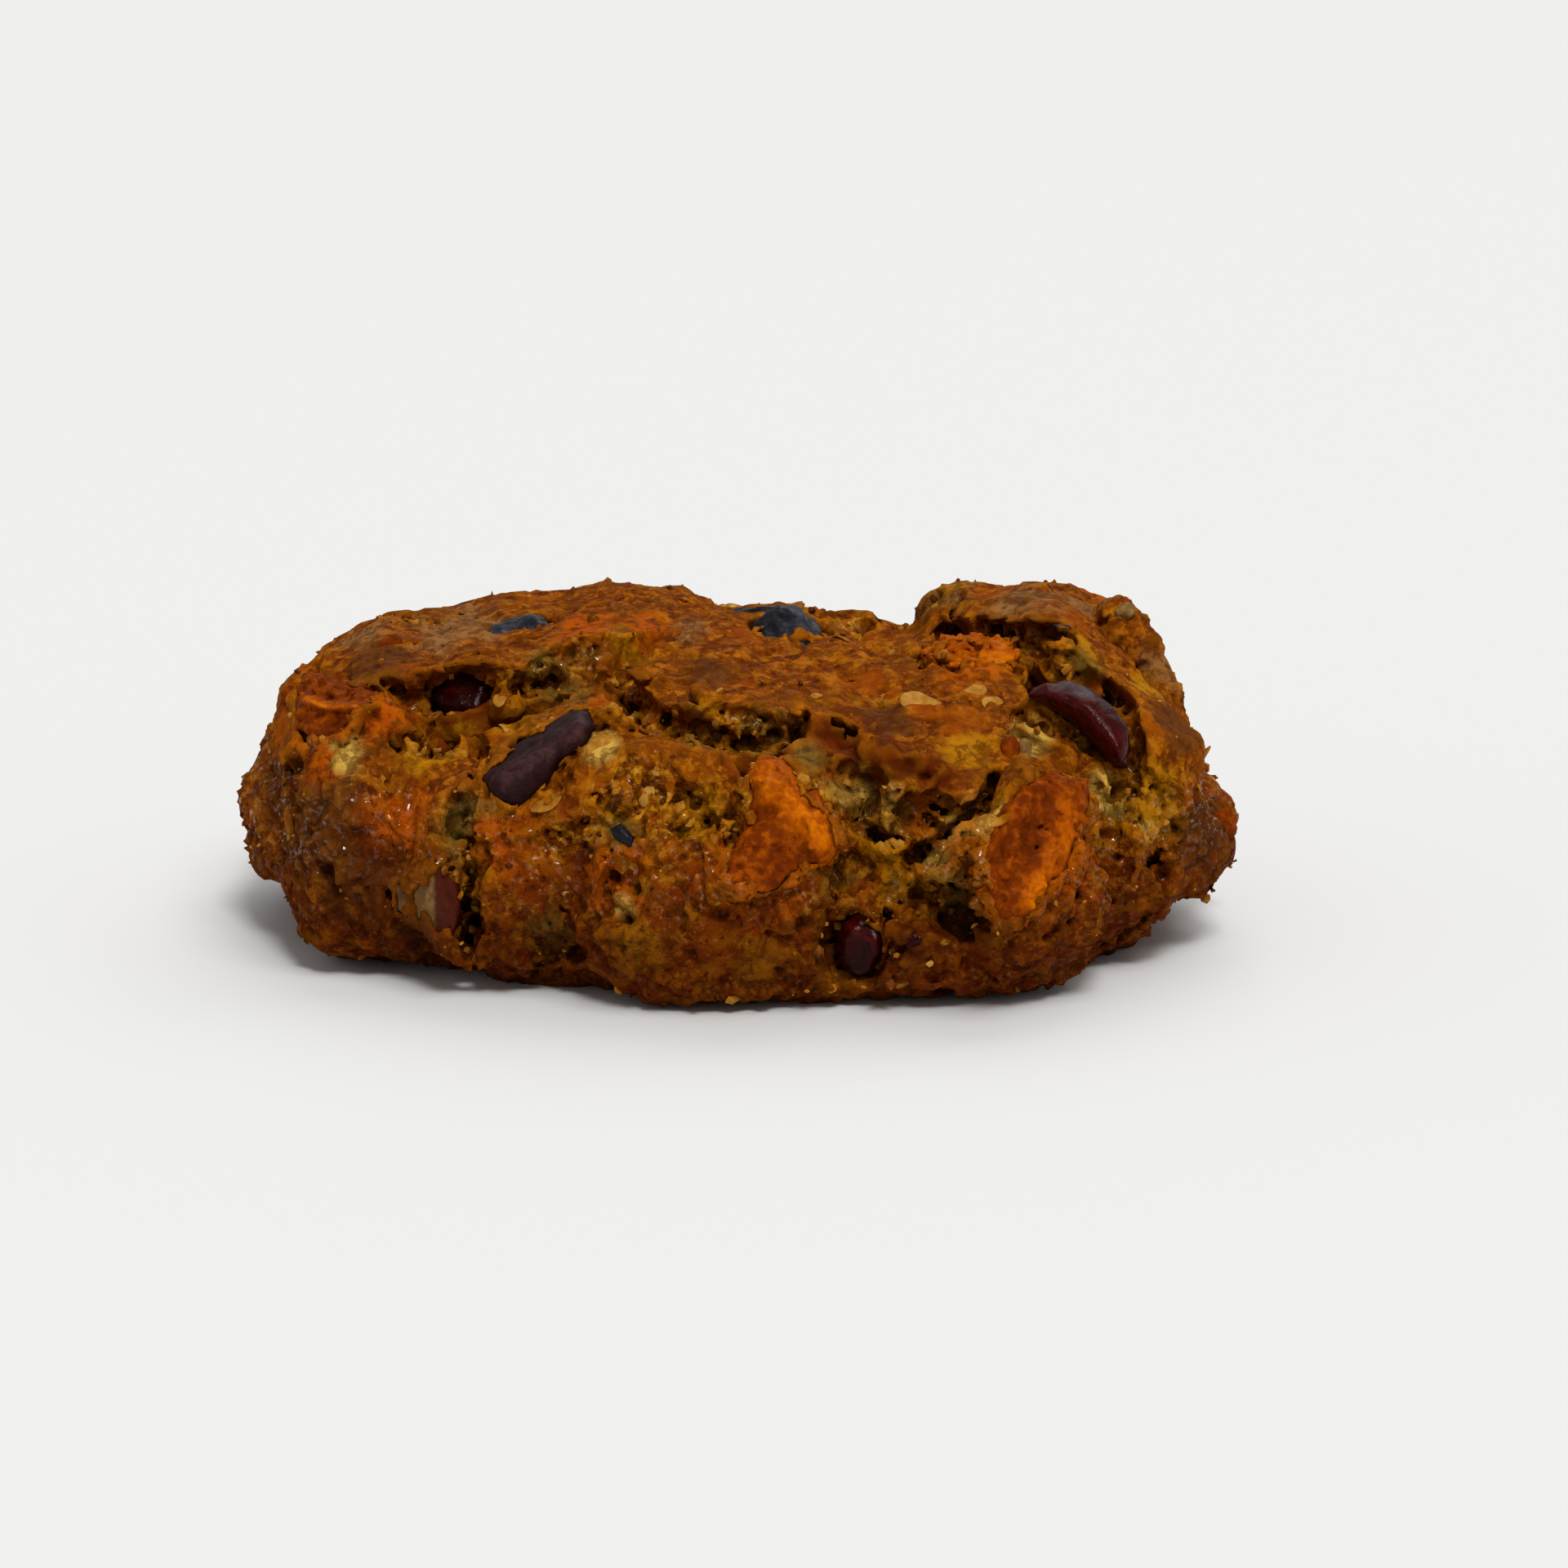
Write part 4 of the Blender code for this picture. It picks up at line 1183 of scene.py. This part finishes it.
def shown_piece(tree, kind, outline, front, back, rounding, cover, ridge):
    """A piece with that outline as seen, lying in the surface: its field, its coat of dough and its crest."""
    found = laid_on(tree, outline)
    middle = np.mean(outline, axis=0)
    inner = [middle + (np.array(point) - middle) * INNER_SHARE for point in outline]
    level = np.concatenate([found, laid_on(tree, inner)])
    flat = np.column_stack([np.ones(len(level)), level[:, :2]])
    plane = np.linalg.lstsq(flat, level[:, 2], rcond=None)[0]
    steepness = math.sqrt(1 + plane[1] ** 2 + plane[2] ** 2)
    way, ridge_height, half_width = ridge
    rise = (front + ridge_height) * steepness
    near = level.min(axis=0) - (PIECE_MARGIN, PIECE_MARGIN, PIECE_MARGIN + back * steepness)
    far = level.max(axis=0) + (PIECE_MARGIN, PIECE_MARGIN, PIECE_MARGIN + rise)
    low, shape = block_round(near, far)
    places = grid_places(low, shape, FRUIT_VOXEL)
    seen = in_picture(places)
    out = (seen[:, 2] - plane[0] - seen[:, :2] @ plane[1:]) / steepness
    crest = (laid_on(tree, way)[:, :2], half_width)
    out -= ridge_height * crest_share(*crest, seen) * smooth_step(out, -RIDGE_FOOT, 0.0)
    beside = outline_distance(found[:, :2], seen[:, :2]) + rounding - UNDER_DOUGH
    add_layers(beside, places, OUTLINE_RAGGED, SEEDS["outline"], RAGGED_SHARE[kind])
    beyond = np.abs(out - (front - back) / 2) - (front + back) / 2 + rounding
    outer = np.hypot(np.maximum(beside, 0), np.maximum(beyond, 0))
    values = outer + np.minimum(np.maximum(beside, beyond), 0) - rounding
    spacing, share = COAT_RAGGED
    width = cover * (1 + share * lattice_noise(places, spacing, SEEDS["coat"]))
    coat = np.maximum(values - COAT_THICKNESS, rounding - UNDER_DOUGH - beside - width)
    fields = [Field.of_values(low, each.reshape(shape), FRUIT_VOXEL) for each in (values, coat)]
    return (*fields, crest)


def outward(place):
    """The direction out of the mound at a place."""
    slope = np.array(place) / np.array(MOUND_SIZE) ** 2
    slope[2] -= MOUND_LEVEL / MOUND_SIZE[2] ** 2
    return (slope / np.linalg.norm(slope)).astype(np.float32)


def cad_piece(name, voxel, sunk):
    """The field of a CAD node's solid, moved that far inwards."""
    points, triangles = mesh_arrays(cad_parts[name].data)
    field = Field(points, triangles, voxel, GRID_ROOM)
    middle, _ = own_directions(field)
    field.low = field.low - np.round(sunk * outward(middle) / voxel).astype(int)
    return field


def kept_coat(name, field):
    """The coat of dough round the lower part of a piece that keeps its CAD form."""
    middle, _ = own_directions(field)
    places = grid_places(field.low, field.values.shape, field.voxel)
    height = (places - middle) @ outward(middle)
    top = height[field.values.ravel() < 0].max()
    spacing, share = COAT_RAGGED
    noise = lattice_noise(places, spacing, SEEDS["kept_coat"])
    edge = top - BARE_TOP.get(name, USUALLY_BARE) + share * noise
    values = np.maximum(field.values - COAT_THICKNESS, (height - edge).reshape(field.values.shape))
    return Field.of_values(field.low, values, field.voxel)


def own_directions(field):
    """The middle of a solid, and the directions that it is longest, wide and thin in, as columns."""
    inside = np.stack(np.nonzero(field.values < 0), axis=1) + field.low
    inside = inside[::INSIDE_STEP] * field.voxel
    _, directions = np.linalg.eigh(np.cov((inside - inside.mean(axis=0)).T))
    return inside.mean(axis=0).astype(np.float32), directions[:, ::-1].astype(np.float32)


def wrinkles(kind, local, seed):
    """How far the skin of a kind of fruit stands out at places along its own directions."""
    stretch, layers = FRUIT_WRINKLES[kind]
    rise = np.zeros(len(local), np.float32)
    for number, (spacing, height, sharp) in enumerate(layers):
        smooth = lattice_noise(local, spacing, seed * 10 + number, stretch)
        rise += height * ((1 - sharp) * smooth + sharp * SHARP_HEIGHT * ridged(smooth))
    return rise


def make_fruit(name, kind, field, crest, seed):
    """A piece of fruit that stands for the CAD node of its name, with the wrinkles of its kind."""
    middle, directions = own_directions(field)
    index, places = field.near(field.far * BAND_SHARE)
    field.values[index] -= wrinkles(kind, (places - middle) @ directions, seed)
    if kind in FRUIT_GRAINS:
        skin = field.near(SKIN_REACH)[1]
        for cut, settings in enumerate(FRUIT_GRAINS[kind]):
            scatter_stamps(field, skin, settings, seed + PORE_SEEDS * cut, bool(cut))
    points, triangles = largest_body(*field.surface())
    made = make_object(name + "_look", points, triangles, fruit_looks[kind])
    thinned(made, FRUIT_TRIANGLES)
    final, _ = mesh_arrays(made.data)
    local = (final - middle) @ directions
    seen = in_picture(final)
    if crest:
        crests = crest_share(*crest, seen)
    else:
        crests = smooth_step(lattice_noise(local, CREST_SPACING, seed), *CREST_SPAN)
    # The wrinkles' height and the crest lighten the material: painted highlight on raised skin and along a
    # shown ridge, painted shade in creases.
    add_value(made, "high", wrinkles(kind, local, seed))
    add_value(made, "crest", crests)
    add_value(made, "skin", smooth_step(seen[:, 0] - in_picture(middle[None])[0, 0], 0.0, SKIN_BORDER))
    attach(made, "root")
    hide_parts(name)


def make_all_fruit(tree):
    """Makes the fruit, and gives the fields of the pieces and of their coats of dough."""
    fields, coats = [], []
    names = sorted(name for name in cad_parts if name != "dough")
    for seed, name in enumerate(names, 1):
        if name in SHOWN_FRUIT:
            kind, *form = SHOWN_FRUIT[name]
            field, coat, crest = shown_piece(tree, kind, *form)
        else:
            kind, crest = name.split("_")[0], None
            field = cad_piece(name, FRUIT_VOXEL, SUNK.get(name, USUALLY_SUNK))
            coat = kept_coat(name, field)
        make_fruit(name, kind, field, crest, seed)
        fields.append(field)
        coats.append(coat)
    return fields, coats


# --- Dough ---


def cut_hollow(field, tree, hollow, share=1.0, ragged=0.0):
    """Cuts one of the hollows, or that share of its length and width."""
    seen, half_length, half_width, depth, angle = hollow
    at, _ = seen_on(tree, *seen)
    radii = (half_length * share, half_width * share, depth)
    field.stamp(np.array(at), radii, turned(angle), HOLLOW_POWER, cut=True, ragged=ragged)


def add_lump(field, tree, seen, half_length, half_width, thickness, angle, stands_out):
    """Adds one of the lumps."""
    at, normal = seen_on(tree, *seen)
    centre = np.array(at + normal * (stands_out - thickness * LUMP_SUNK))
    field.stamp(centre, (half_length, half_width, thickness), turned(angle), LUMP_POWER)


def cut_hole(field, tree, seen, half_width, half_height, depth, seed):
    """A small hole that narrows inwards."""
    at, normal = seen_on(tree, *seen)
    _, sight = line_of_sight(*seen)
    inward = (sight - normal).normalized()
    rng = np.random.default_rng(seed)
    steps = max(2, round(depth / HOLE_STEP))
    for step in range(steps + 1):
        share = step / steps
        narrow = 1 - HOLE_TAPER * share
        centre = np.array(at + inward * (depth * share + HOLE_START)) + rng.normal(0, HOLE_WANDER, 3)
        radii = (half_width * narrow, half_height * narrow, half_width * narrow)
        axes = turned(rng.uniform(-HOLE_TURN, HOLE_TURN))
        field.stamp(centre, radii, axes, HOLE_POWER, cut=True, ragged=HOLE_RAGGED)


def cut_split(field, tree, points, half_width, depth, seed):
    """A thin crack through the points as seen, which wanders a little and narrows inwards."""
    rng = np.random.default_rng(seed)
    for start, end in zip(points, points[1:], strict=False):
        start, end = np.array(start), np.array(end)
        steps = max(2, round(float(np.linalg.norm(end - start)) / SPLIT_STEP))
        for step in range(steps + 1):
            seen = start + (end - start) * step / steps
            at, normal = seen_on(tree, *seen)
            _, sight = line_of_sight(*seen)
            inward = (SPLIT_LEAN * sight - normal).normalized()
            width = half_width * rng.uniform(*SPLIT_WIDTHS)
            for level in np.arange(SPLIT_START, depth, SPLIT_STEP_IN):
                narrow = width * (1 - SPLIT_TAPER * max(level, 0) / depth)
                centre = np.array(at + inward * level) + rng.normal(0, SPLIT_WANDER, 3)
                field.stamp(centre, (narrow,) * 3, np.eye(3), SPLIT_POWER, cut=True)


def random_size(rng, smallest, largest, power):
    """A random size, more often small than large."""
    return smallest + (largest - smallest) * rng.random() ** power


def scatter_stamps(field, places, settings, seed, cut):
    """Random lumps or pores at the surface: rounded blocks turned every way."""
    count, smallest, largest = settings
    rng = np.random.default_rng(seed)
    chosen = places[rng.integers(0, len(places), count)]
    for centre in chosen:
        radius = random_size(rng, smallest, largest, STAMP_POWER)
        radii = radius * rng.uniform(*STAMP_STRETCH, 3)
        turn = np.array(Euler(rng.uniform(0, 2 * math.pi, 3)).to_matrix())
        middle = centre + rng.normal(0, STAMP_WANDER, 3)
        field.stamp(middle, radii, turn, rng.uniform(*STAMP_SQUARE), cut=cut)


def fill_seats(field):
    """Fills the CAD seats of the fruit, less what stands out, so that new fruit can be set in the dough."""
    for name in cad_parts:
        if name == "dough":
            continue
        seat = cad_piece(name, field.voxel, SEAT_SHIFT)
        seat.values -= SEAT_GROWTH
        field.join(seat)


def find_zones(tree, points):
    """The torn zones, as middles, axes and radii: the ones shown, and more on the sides that are hidden."""
    zones = []
    for seen, half_length, half_width, angle in TORN_ZONES:
        at, _ = seen_on(tree, *seen)
        zones.append((np.array(at, np.float32), turned(angle), (half_length, half_width, ZONE_REACH)))
    rng = np.random.default_rng(SEEDS["hidden_zones"])
    hidden = points[in_picture(points)[:, 2] < HIDDEN_BEHIND]
    for centre in hidden[rng.integers(0, len(hidden), HIDDEN_ZONES)]:
        radii = (rng.uniform(*HIDDEN_LENGTHS), rng.uniform(*HIDDEN_WIDTHS), ZONE_REACH)
        zones.append((centre, upright(outward(centre), rng), radii))
    return zones


def zone_share(zones, places):
    """How far places are out from the nearest torn zone: 1 is its ragged edge."""
    ragged = add_layers(np.zeros(len(places), np.float32), places, STEP_RAGGED, SEEDS["step"])
    nearest = np.full(len(places), FAR_OUT, np.float32)
    for centre, axes, radii in zones:
        apart = places - centre
        close = np.flatnonzero(np.abs(apart).max(axis=1) < 2 * max(radii))
        share = np.linalg.norm((apart[close] @ axes) / np.array(radii, np.float32), axis=1)
        nearest[close] = np.minimum(nearest[close], share)
    return nearest + ragged


def step_rise(share):
    """The step down from the crust into a torn zone, with a lip along it."""
    down = STEP_DEPTH * smooth_step(share, *STEP_SPAN)
    lip = LIP_HEIGHT * smooth_step(share, *LIP_OUTSIDE) * smooth_step(share, *LIP_INSIDE)
    return lip - down


def crumb_rise(places, torn):
    """How far the dough's crumb stands out at places, more so where it is torn."""
    spacing, push = DOUGH_SHEAR
    moves = [lattice_noise(places, spacing, SEEDS["shear"] + axis) for axis in range(3)]
    sheared = places + push * np.stack(moves, axis=1)
    crust = FRONT_SHARE + (TOP_SHARE - FRONT_SHARE) * smooth_step(places[:, 2], CALM_FROM, CALM_TO)
    share = crust + (TORN_SHARE - crust) * torn
    rise = add_layers(np.zeros(len(places), np.float32), sheared, DOUGH_LUMPS, SEEDS["lumps"])
    add_layers(rise, sheared, DOUGH_CRUMB, SEEDS["crumb"], share, ridged_noise)
    return add_layers(rise, sheared, DOUGH_GRAIN, SEEDS["grain"], share, cell_noise)


def torn_share(around, zone):
    """How torn the dough is, from 0 to 1: in the zones, and where there is much dough around."""
    return np.maximum(smooth_step(around, TORN_FROM, TORN_TO), smooth_step(zone, *TORN_SPAN))


def spot_weight(spots, places, seed):
    """How much each place belongs to one of the spots, which are a point and a radius."""
    spacing, height = TINT_RAGGED
    ragged = height * lattice_noise(places, spacing, seed)
    seen = in_picture(places)
    weight = np.zeros(len(places), np.float32)
    for centre, radius in spots:
        apart = np.linalg.norm((seen - in_picture(centre)) * TINT_STRETCH, axis=1) / radius
        np.maximum(weight, 1 - smooth_step(apart + ragged, *TINT_EDGE), out=weight)
    return weight


def tint_spots(tint, tree, points, seed):
    """The spots of one tint: those that the photograph shows, and more on the sides that it hides."""
    spots = [(seen_on(tree, *seen)[0], radius) for seen, radius in TINTS[tint]]
    rng = np.random.default_rng(seed)
    hidden = points[in_picture(points)[:, 2] < TINTS_BEHIND]
    for centre in hidden[rng.integers(0, len(hidden), HIDDEN_SPOTS)]:
        spots.append((centre, rng.uniform(*HIDDEN_RADII)))
    return spots


def worked_field(tree, points, triangles, coats):
    """The dough with its lumps, torn zones, hollows and coats, and how far its cells are from a torn zone."""
    field = Field(points, triangles, DOUGH_VOXEL, GRID_ROOM)
    fill_seats(field)
    field.values += DOUGH_INSET
    for lump in LUMPS:
        add_lump(field, tree, *lump)
    zone = np.full(field.values.shape, FAR_OUT, np.float32)
    index, places = field.near(field.far * BAND_SHARE)
    zone[index] = zone_share(find_zones(tree, points), places)
    field.values[index] -= step_rise(zone[index])
    for hollow in HOLLOWS:
        cut_hollow(field, tree, hollow)
    for coat in coats:
        field.combine_fine(coat, np.minimum)
    return field, zone


def add_crumb(field, tree, wide, zone):
    """Gives the dough its crumb, small holes, cracks, grains and pores."""
    index, places = field.near(CRUMB_REACH)
    torn = torn_share(field.read(wide, places, WIDE_STEP), zone[index])
    field.values[index] -= crumb_rise(places, torn)
    for hollow in HOLLOWS:
        cut_hollow(field, tree, hollow, HOLLOW_CORE, HOLLOW_RAGGED)
    for number, hole in enumerate(HOLES):
        cut_hole(field, tree, *hole, number)
    for number, split in enumerate(SPLITS):
        cut_split(field, tree, *split, number)
    index, places = field.near(SKIN_REACH)
    torn = torn_share(field.read(wide, places, WIDE_STEP), zone[index])
    crust_places, torn_places = places[torn < TORN_ABOVE], places[torn >= TORN_ABOVE]
    stamps = (
        (crust_places, CRUST_GRAINS, False), (torn_places, TORN_GRAINS, False),
        (crust_places, CRUST_PORES, True), (torn_places, TORN_PORES, True),
    )
    for number, (chosen, settings, cut) in enumerate(stamps):
        scatter_stamps(field, chosen, settings, SEEDS["stamps"] + number, cut)


def shares_at(points, field, tree, wide, zone):
    """What the dough's material reads at the points, each from 0 to 1."""
    close = blurred((field.values < 0).astype(np.float32), CLOSE_BLUR)
    near_dough = field.read(close, points)
    far_dough = field.read(wide, points, WIDE_STEP)
    # The pit and deep shares carry painted shade, the edge share a partly painted highlight, the foot share
    # partly painted shade.
    shares = {
        "torn": torn_share(far_dough, field.read(zone, points)),
        "pit": smooth_step(near_dough, *PIT_SPAN),
        "deep": smooth_step(far_dough, *DEEP_SPAN),
        "edge": smooth_step(near_dough, *EDGE_SPAN),
        "foot": smooth_step(points[:, 2], *FOOT_SPAN),
    }
    shares["calm"] = smooth_step(points[:, 2], CALM_FROM, CALM_TO) * (1 - shares["torn"])
    for number, tint in enumerate(TINTS):
        spots = tint_spots(tint, tree, points, SEEDS["tint_spots"] + number)
        shares[tint] = spot_weight(spots, points, SEEDS["tint_edges"] + number)
    return shares


def make_dough(tree, fruit_fields, coats):
    """The dough, and the search tree, the points and the shares of its finished surface."""
    points, triangles = mesh_arrays(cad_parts["dough"].data)
    field, zone = worked_field(tree, points, triangles, coats)
    coarse = field.values[::WIDE_STEP, ::WIDE_STEP, ::WIDE_STEP]
    wide = blurred((coarse < 0).astype(np.float32), WIDE_BLUR)
    add_crumb(field, tree, wide, zone)
    for other in fruit_fields:
        field.combine_fine(other, lambda mine, theirs: np.maximum(mine, -theirs))
    heights = (np.arange(field.values.shape[2]) + field.low[2]) * field.voxel
    np.maximum(field.values, -heights[None, None, :].astype(np.float32), out=field.values)
    made = make_object("dough_look", *largest_body(*field.surface()), dough_look)
    thinned(made, DOUGH_TRIANGLES)
    points, triangles = mesh_arrays(made.data)
    shares = shares_at(points, field, tree, wide, zone)
    for name, values in shares.items():
        add_value(made, name, values)
    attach(made, "root")
    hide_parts("dough")
    return made, search_tree(points, triangles), points, shares


# --- Crumbs, oat flakes and bits ---


def random_seed(rng):
    """A seed for one piece."""
    return int(rng.integers(1e6))


def rough_ball(detail, roughness, rng):
    """A unit ball with random dents, as points and triangles."""
    mesh = bmesh.new()
    bmesh.ops.create_icosphere(mesh, subdivisions=detail, radius=1)
    points = np.array([vertex.co for vertex in mesh.verts], np.float32)
    triangles = np.array([[vertex.index for vertex in face.verts] for face in mesh.faces])
    mesh.free()
    dents = np.zeros(len(points), np.float32)
    for spacing, height in DENTS:
        dents += height * lattice_noise(points, spacing, random_seed(rng))
    return points * (1 + roughness * dents[:, None]), triangles


def upright(normal, rng):
    """Axes whose third one is the normal, turned at random about it, as columns."""
    turn = Vector(normal).to_track_quat("Z", "Y").to_matrix()
    return np.array(turn @ Matrix.Rotation(rng.uniform(0, 2 * math.pi), 3, "Z"), np.float32)


def join_pieces(name, pieces, material, smooth=True):
    """One object of many small closed pieces, each given as points, triangles and a tone."""
    points = np.concatenate([piece[0] for piece in pieces])
    starts = np.cumsum([0] + [len(piece[0]) for piece in pieces[:-1]])
    triangles = np.concatenate([piece[1] + start for piece, start in zip(pieces, starts, strict=True)])
    points[:, 2] = np.maximum(points[:, 2], LOWEST_PLACE)
    made = make_object(name, points, triangles, material, smooth)
    tones = np.concatenate([np.full(len(piece[0]), piece[2]) for piece in pieces])
    for value in ("tone", "crest"):
        add_value(made, value, tones)
    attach(made, "root")


def oat_flake(size, rng):
    """A pressed oat: a thin bent oval with a crease along it."""
    points, triangles = rough_ball(BALL_DETAIL, OAT_ROUGHNESS, rng)
    points = points * np.array((1.0, rng.uniform(*OAT_WIDTHS), OAT_THICKNESS))
    depth, half_width = OAT_CREASE
    crease = depth * np.exp(-((points[:, 1] / half_width) ** 2))
    bend = rng.uniform(*OAT_BENDS)
    bent = bend * (points[:, 0] ** 2 + OAT_BEND_ACROSS * points[:, 1] ** 2)
    points[:, 2] += bent - crease * (points[:, 2] > 0)
    spacing, height = OAT_WAVES
    points[:, 2] += height * lattice_noise(points, spacing, random_seed(rng))
    return points * size, triangles


def make_oats(tree, points, normals, weights):
    """The oat flakes that the photograph shows, and more of them at random."""
    rng = np.random.default_rng(SEEDS["oats"])
    pieces = []
    for seen, size, angle in SHOWN_OATS:
        at, normal = seen_on(tree, *seen)
        flake, triangles = oat_flake(size, rng)
        normal = (normal * 0.5 - line_of_sight(*seen)[1] * 0.5).normalized()
        axes = np.array(normal.to_track_quat("Z", "Y").to_matrix(), np.float32) @ spun(angle)
        place = np.array(at + normal * OAT_STANDS_OUT)
        pieces.append((flake @ axes.T + place, triangles, rng.uniform(*SHOWN_OAT_TONES)))
    for i in rng.choice(len(points), OAT_COUNT, p=weights):
        flake, triangles = oat_flake(rng.uniform(*OAT_SIZES), rng)
        place = points[i] + normals[i] * rng.uniform(OAT_DEEPEST, OAT_STANDS_OUT)
        axes = upright(normals[i] + rng.normal(0, OAT_TILT, 3), rng)
        pieces.append((flake @ axes.T + place, triangles, rng.uniform(*OAT_TONES)))
    join_pieces("oat_flakes", pieces, oat_look)


def make_crumbs(points, normals, weights):
    """Angular crumbs of dough, oat and nut that cling to the surface."""
    rng = np.random.default_rng(SEEDS["crumbs"])
    shapes = [rough_ball(CRUMB_DETAIL, CRUMB_ROUGHNESS, rng) for _ in range(CRUMB_SHAPES)]
    pieces = []
    for i in rng.choice(len(points), CRUMB_COUNT, p=weights):
        shape, triangles = shapes[rng.integers(len(shapes))]
        radius = random_size(rng, *CRUMB_SIZES, CRUMB_POWER)
        radii = radius * rng.uniform(*CRUMB_STRETCH, 3)
        place = points[i] + normals[i] * radius * rng.uniform(*CRUMB_STANDS_OUT)
        axes = upright(rng.normal(0, 1, 3), rng)
        pieces.append((shape * radii @ axes.T + place, triangles, rng.random()))
    join_pieces("crumbs", pieces, crumb_look, smooth=False)


def make_bits(tree):
    """The small bits of fruit and nut that the photograph shows, one piece for each kind."""
    rng = np.random.default_rng(SEEDS["bits"])
    for kind, spots in SHOWN_BITS.items():
        pieces = []
        for seen, half_length, half_width, thickness, angle in spots:
            at, normal = seen_on(tree, *seen)
            shape, triangles = rough_ball(BALL_DETAIL, BIT_ROUGHNESS, rng)
            radii = np.array((half_length, half_width, thickness))
            place = np.array(at - normal * thickness * BIT_SUNK)
            pieces.append(((shape * radii) @ turned(angle).T + place, triangles, BIT_TONES[kind]))
        join_pieces(kind + "_bits", pieces, fruit_looks[kind])


# --- Stage ---


def add_sun(name, azimuth, elevation, width, strength, colour):
    """A soft light from that side and height, in degrees, as wide as that in the sky."""
    light = bpy.data.lights.new(name, "SUN")
    light.angle = math.radians(width)
    light.energy = strength
    light.color = colour
    made = bpy.data.objects.new(name, light)
    turn = math.radians(azimuth)
    rise = math.radians(elevation)
    source = Vector((math.sin(turn) * math.cos(rise), -math.cos(turn) * math.cos(rise), math.sin(rise)))
    made.rotation_euler = (-source).to_track_quat("-Z", "Y").to_euler()
    bpy.context.scene.collection.objects.link(made)


def make_stage():
    """The plain floor, the surroundings and the lights."""
    world = bpy.data.worlds.new("studio")
    world.use_nodes = True
    background = world.node_tree.nodes["Background"].inputs
    background["Color"].default_value = (1.0, 1.0, 1.0, 1.0)
    background["Strength"].default_value = WORLD_STRENGTH
    bpy.context.scene.world = world
    bpy.context.scene.view_settings.view_transform = "Standard"
    settings = {"Base Color": (0.84, 0.84, 0.83, 1.0), "Roughness": 0.8, "Specular IOR Level": 0.1}
    look = Finish("floor_look", settings)
    corners = FLOOR_REACH * np.array([(-1, -1, 0), (1, -1, 0), (1, 1, 0), (-1, 1, 0)])
    floor = make_object("floor", corners, np.array([(0, 1, 2), (0, 2, 3)]), look.material, smooth=False)
    for light in SUNS:
        add_sun(*light)


def make_camera():
    """The photograph's view."""
    camera = bpy.data.cameras.new("camera")
    camera.sensor_width = SENSOR_WIDTH
    camera.lens = SENSOR_WIDTH * VIEW_DISTANCE / PICTURE_WIDTH
    camera.clip_start = 0.01
    made = bpy.data.objects.new("camera", camera)
    eye, direction = line_of_sight(0, 0)
    made.location = eye * MM
    made.rotation_euler = direction.to_track_quat("-Z", "Y").to_euler()
    bpy.context.scene.collection.objects.link(made)
    bpy.context.scene.camera = made


def whole_tree():
    """A search tree of all the CAD nodes."""
    all_points = []
    all_triangles = []
    count = 0
    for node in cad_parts.values():
        points, triangles = mesh_arrays(node.data)
        all_points.append(points)
        all_triangles.append(triangles + count)
        count += len(points)
    return search_tree(np.concatenate(all_points), np.concatenate(all_triangles))


def surface_normals(mesh):
    """The normals of a mesh's vertices."""
    normals = np.empty(len(mesh.vertices) * 3, np.float32)
    mesh.vertex_normals.foreach_get("vector", normals)
    return normals.reshape(-1, 3)


def shared(weights):
    """The weights as shares of their sum."""
    return weights / weights.sum()


dough_look = dough_material()
oat_look = grain_material("oat_look", OAT_STOPS)
crumb_look = grain_material("crumb_look", CRUMB_STOPS)
fruit_looks = {kind: fruit_material(kind) for kind in FRUIT_LOOKS}

make_camera()
make_stage()
cookie_tree = whole_tree()
fruit_fields, fruit_coats = make_all_fruit(cookie_tree)
dough, dough_tree, dough_points, dough_shares = make_dough(cookie_tree, fruit_fields, fruit_coats)
dough_normals = surface_normals(dough.data)
open_surface = (dough_points[:, 2] > FOOT_TOP) * (1 - KEPT_FROM_PITS * dough_shares["pit"])
oat_weights = open_surface * (OATS_OFF_EDGES + dough_shares["edge"])
crumb_weights = open_surface * (CRUMBS_ON_CRUST + CRUMBS_ON_TORN * dough_shares["torn"])
make_oats(dough_tree, dough_points, dough_normals, shared(oat_weights))
make_crumbs(dough_points, dough_normals, shared(crumb_weights))
make_bits(dough_tree)
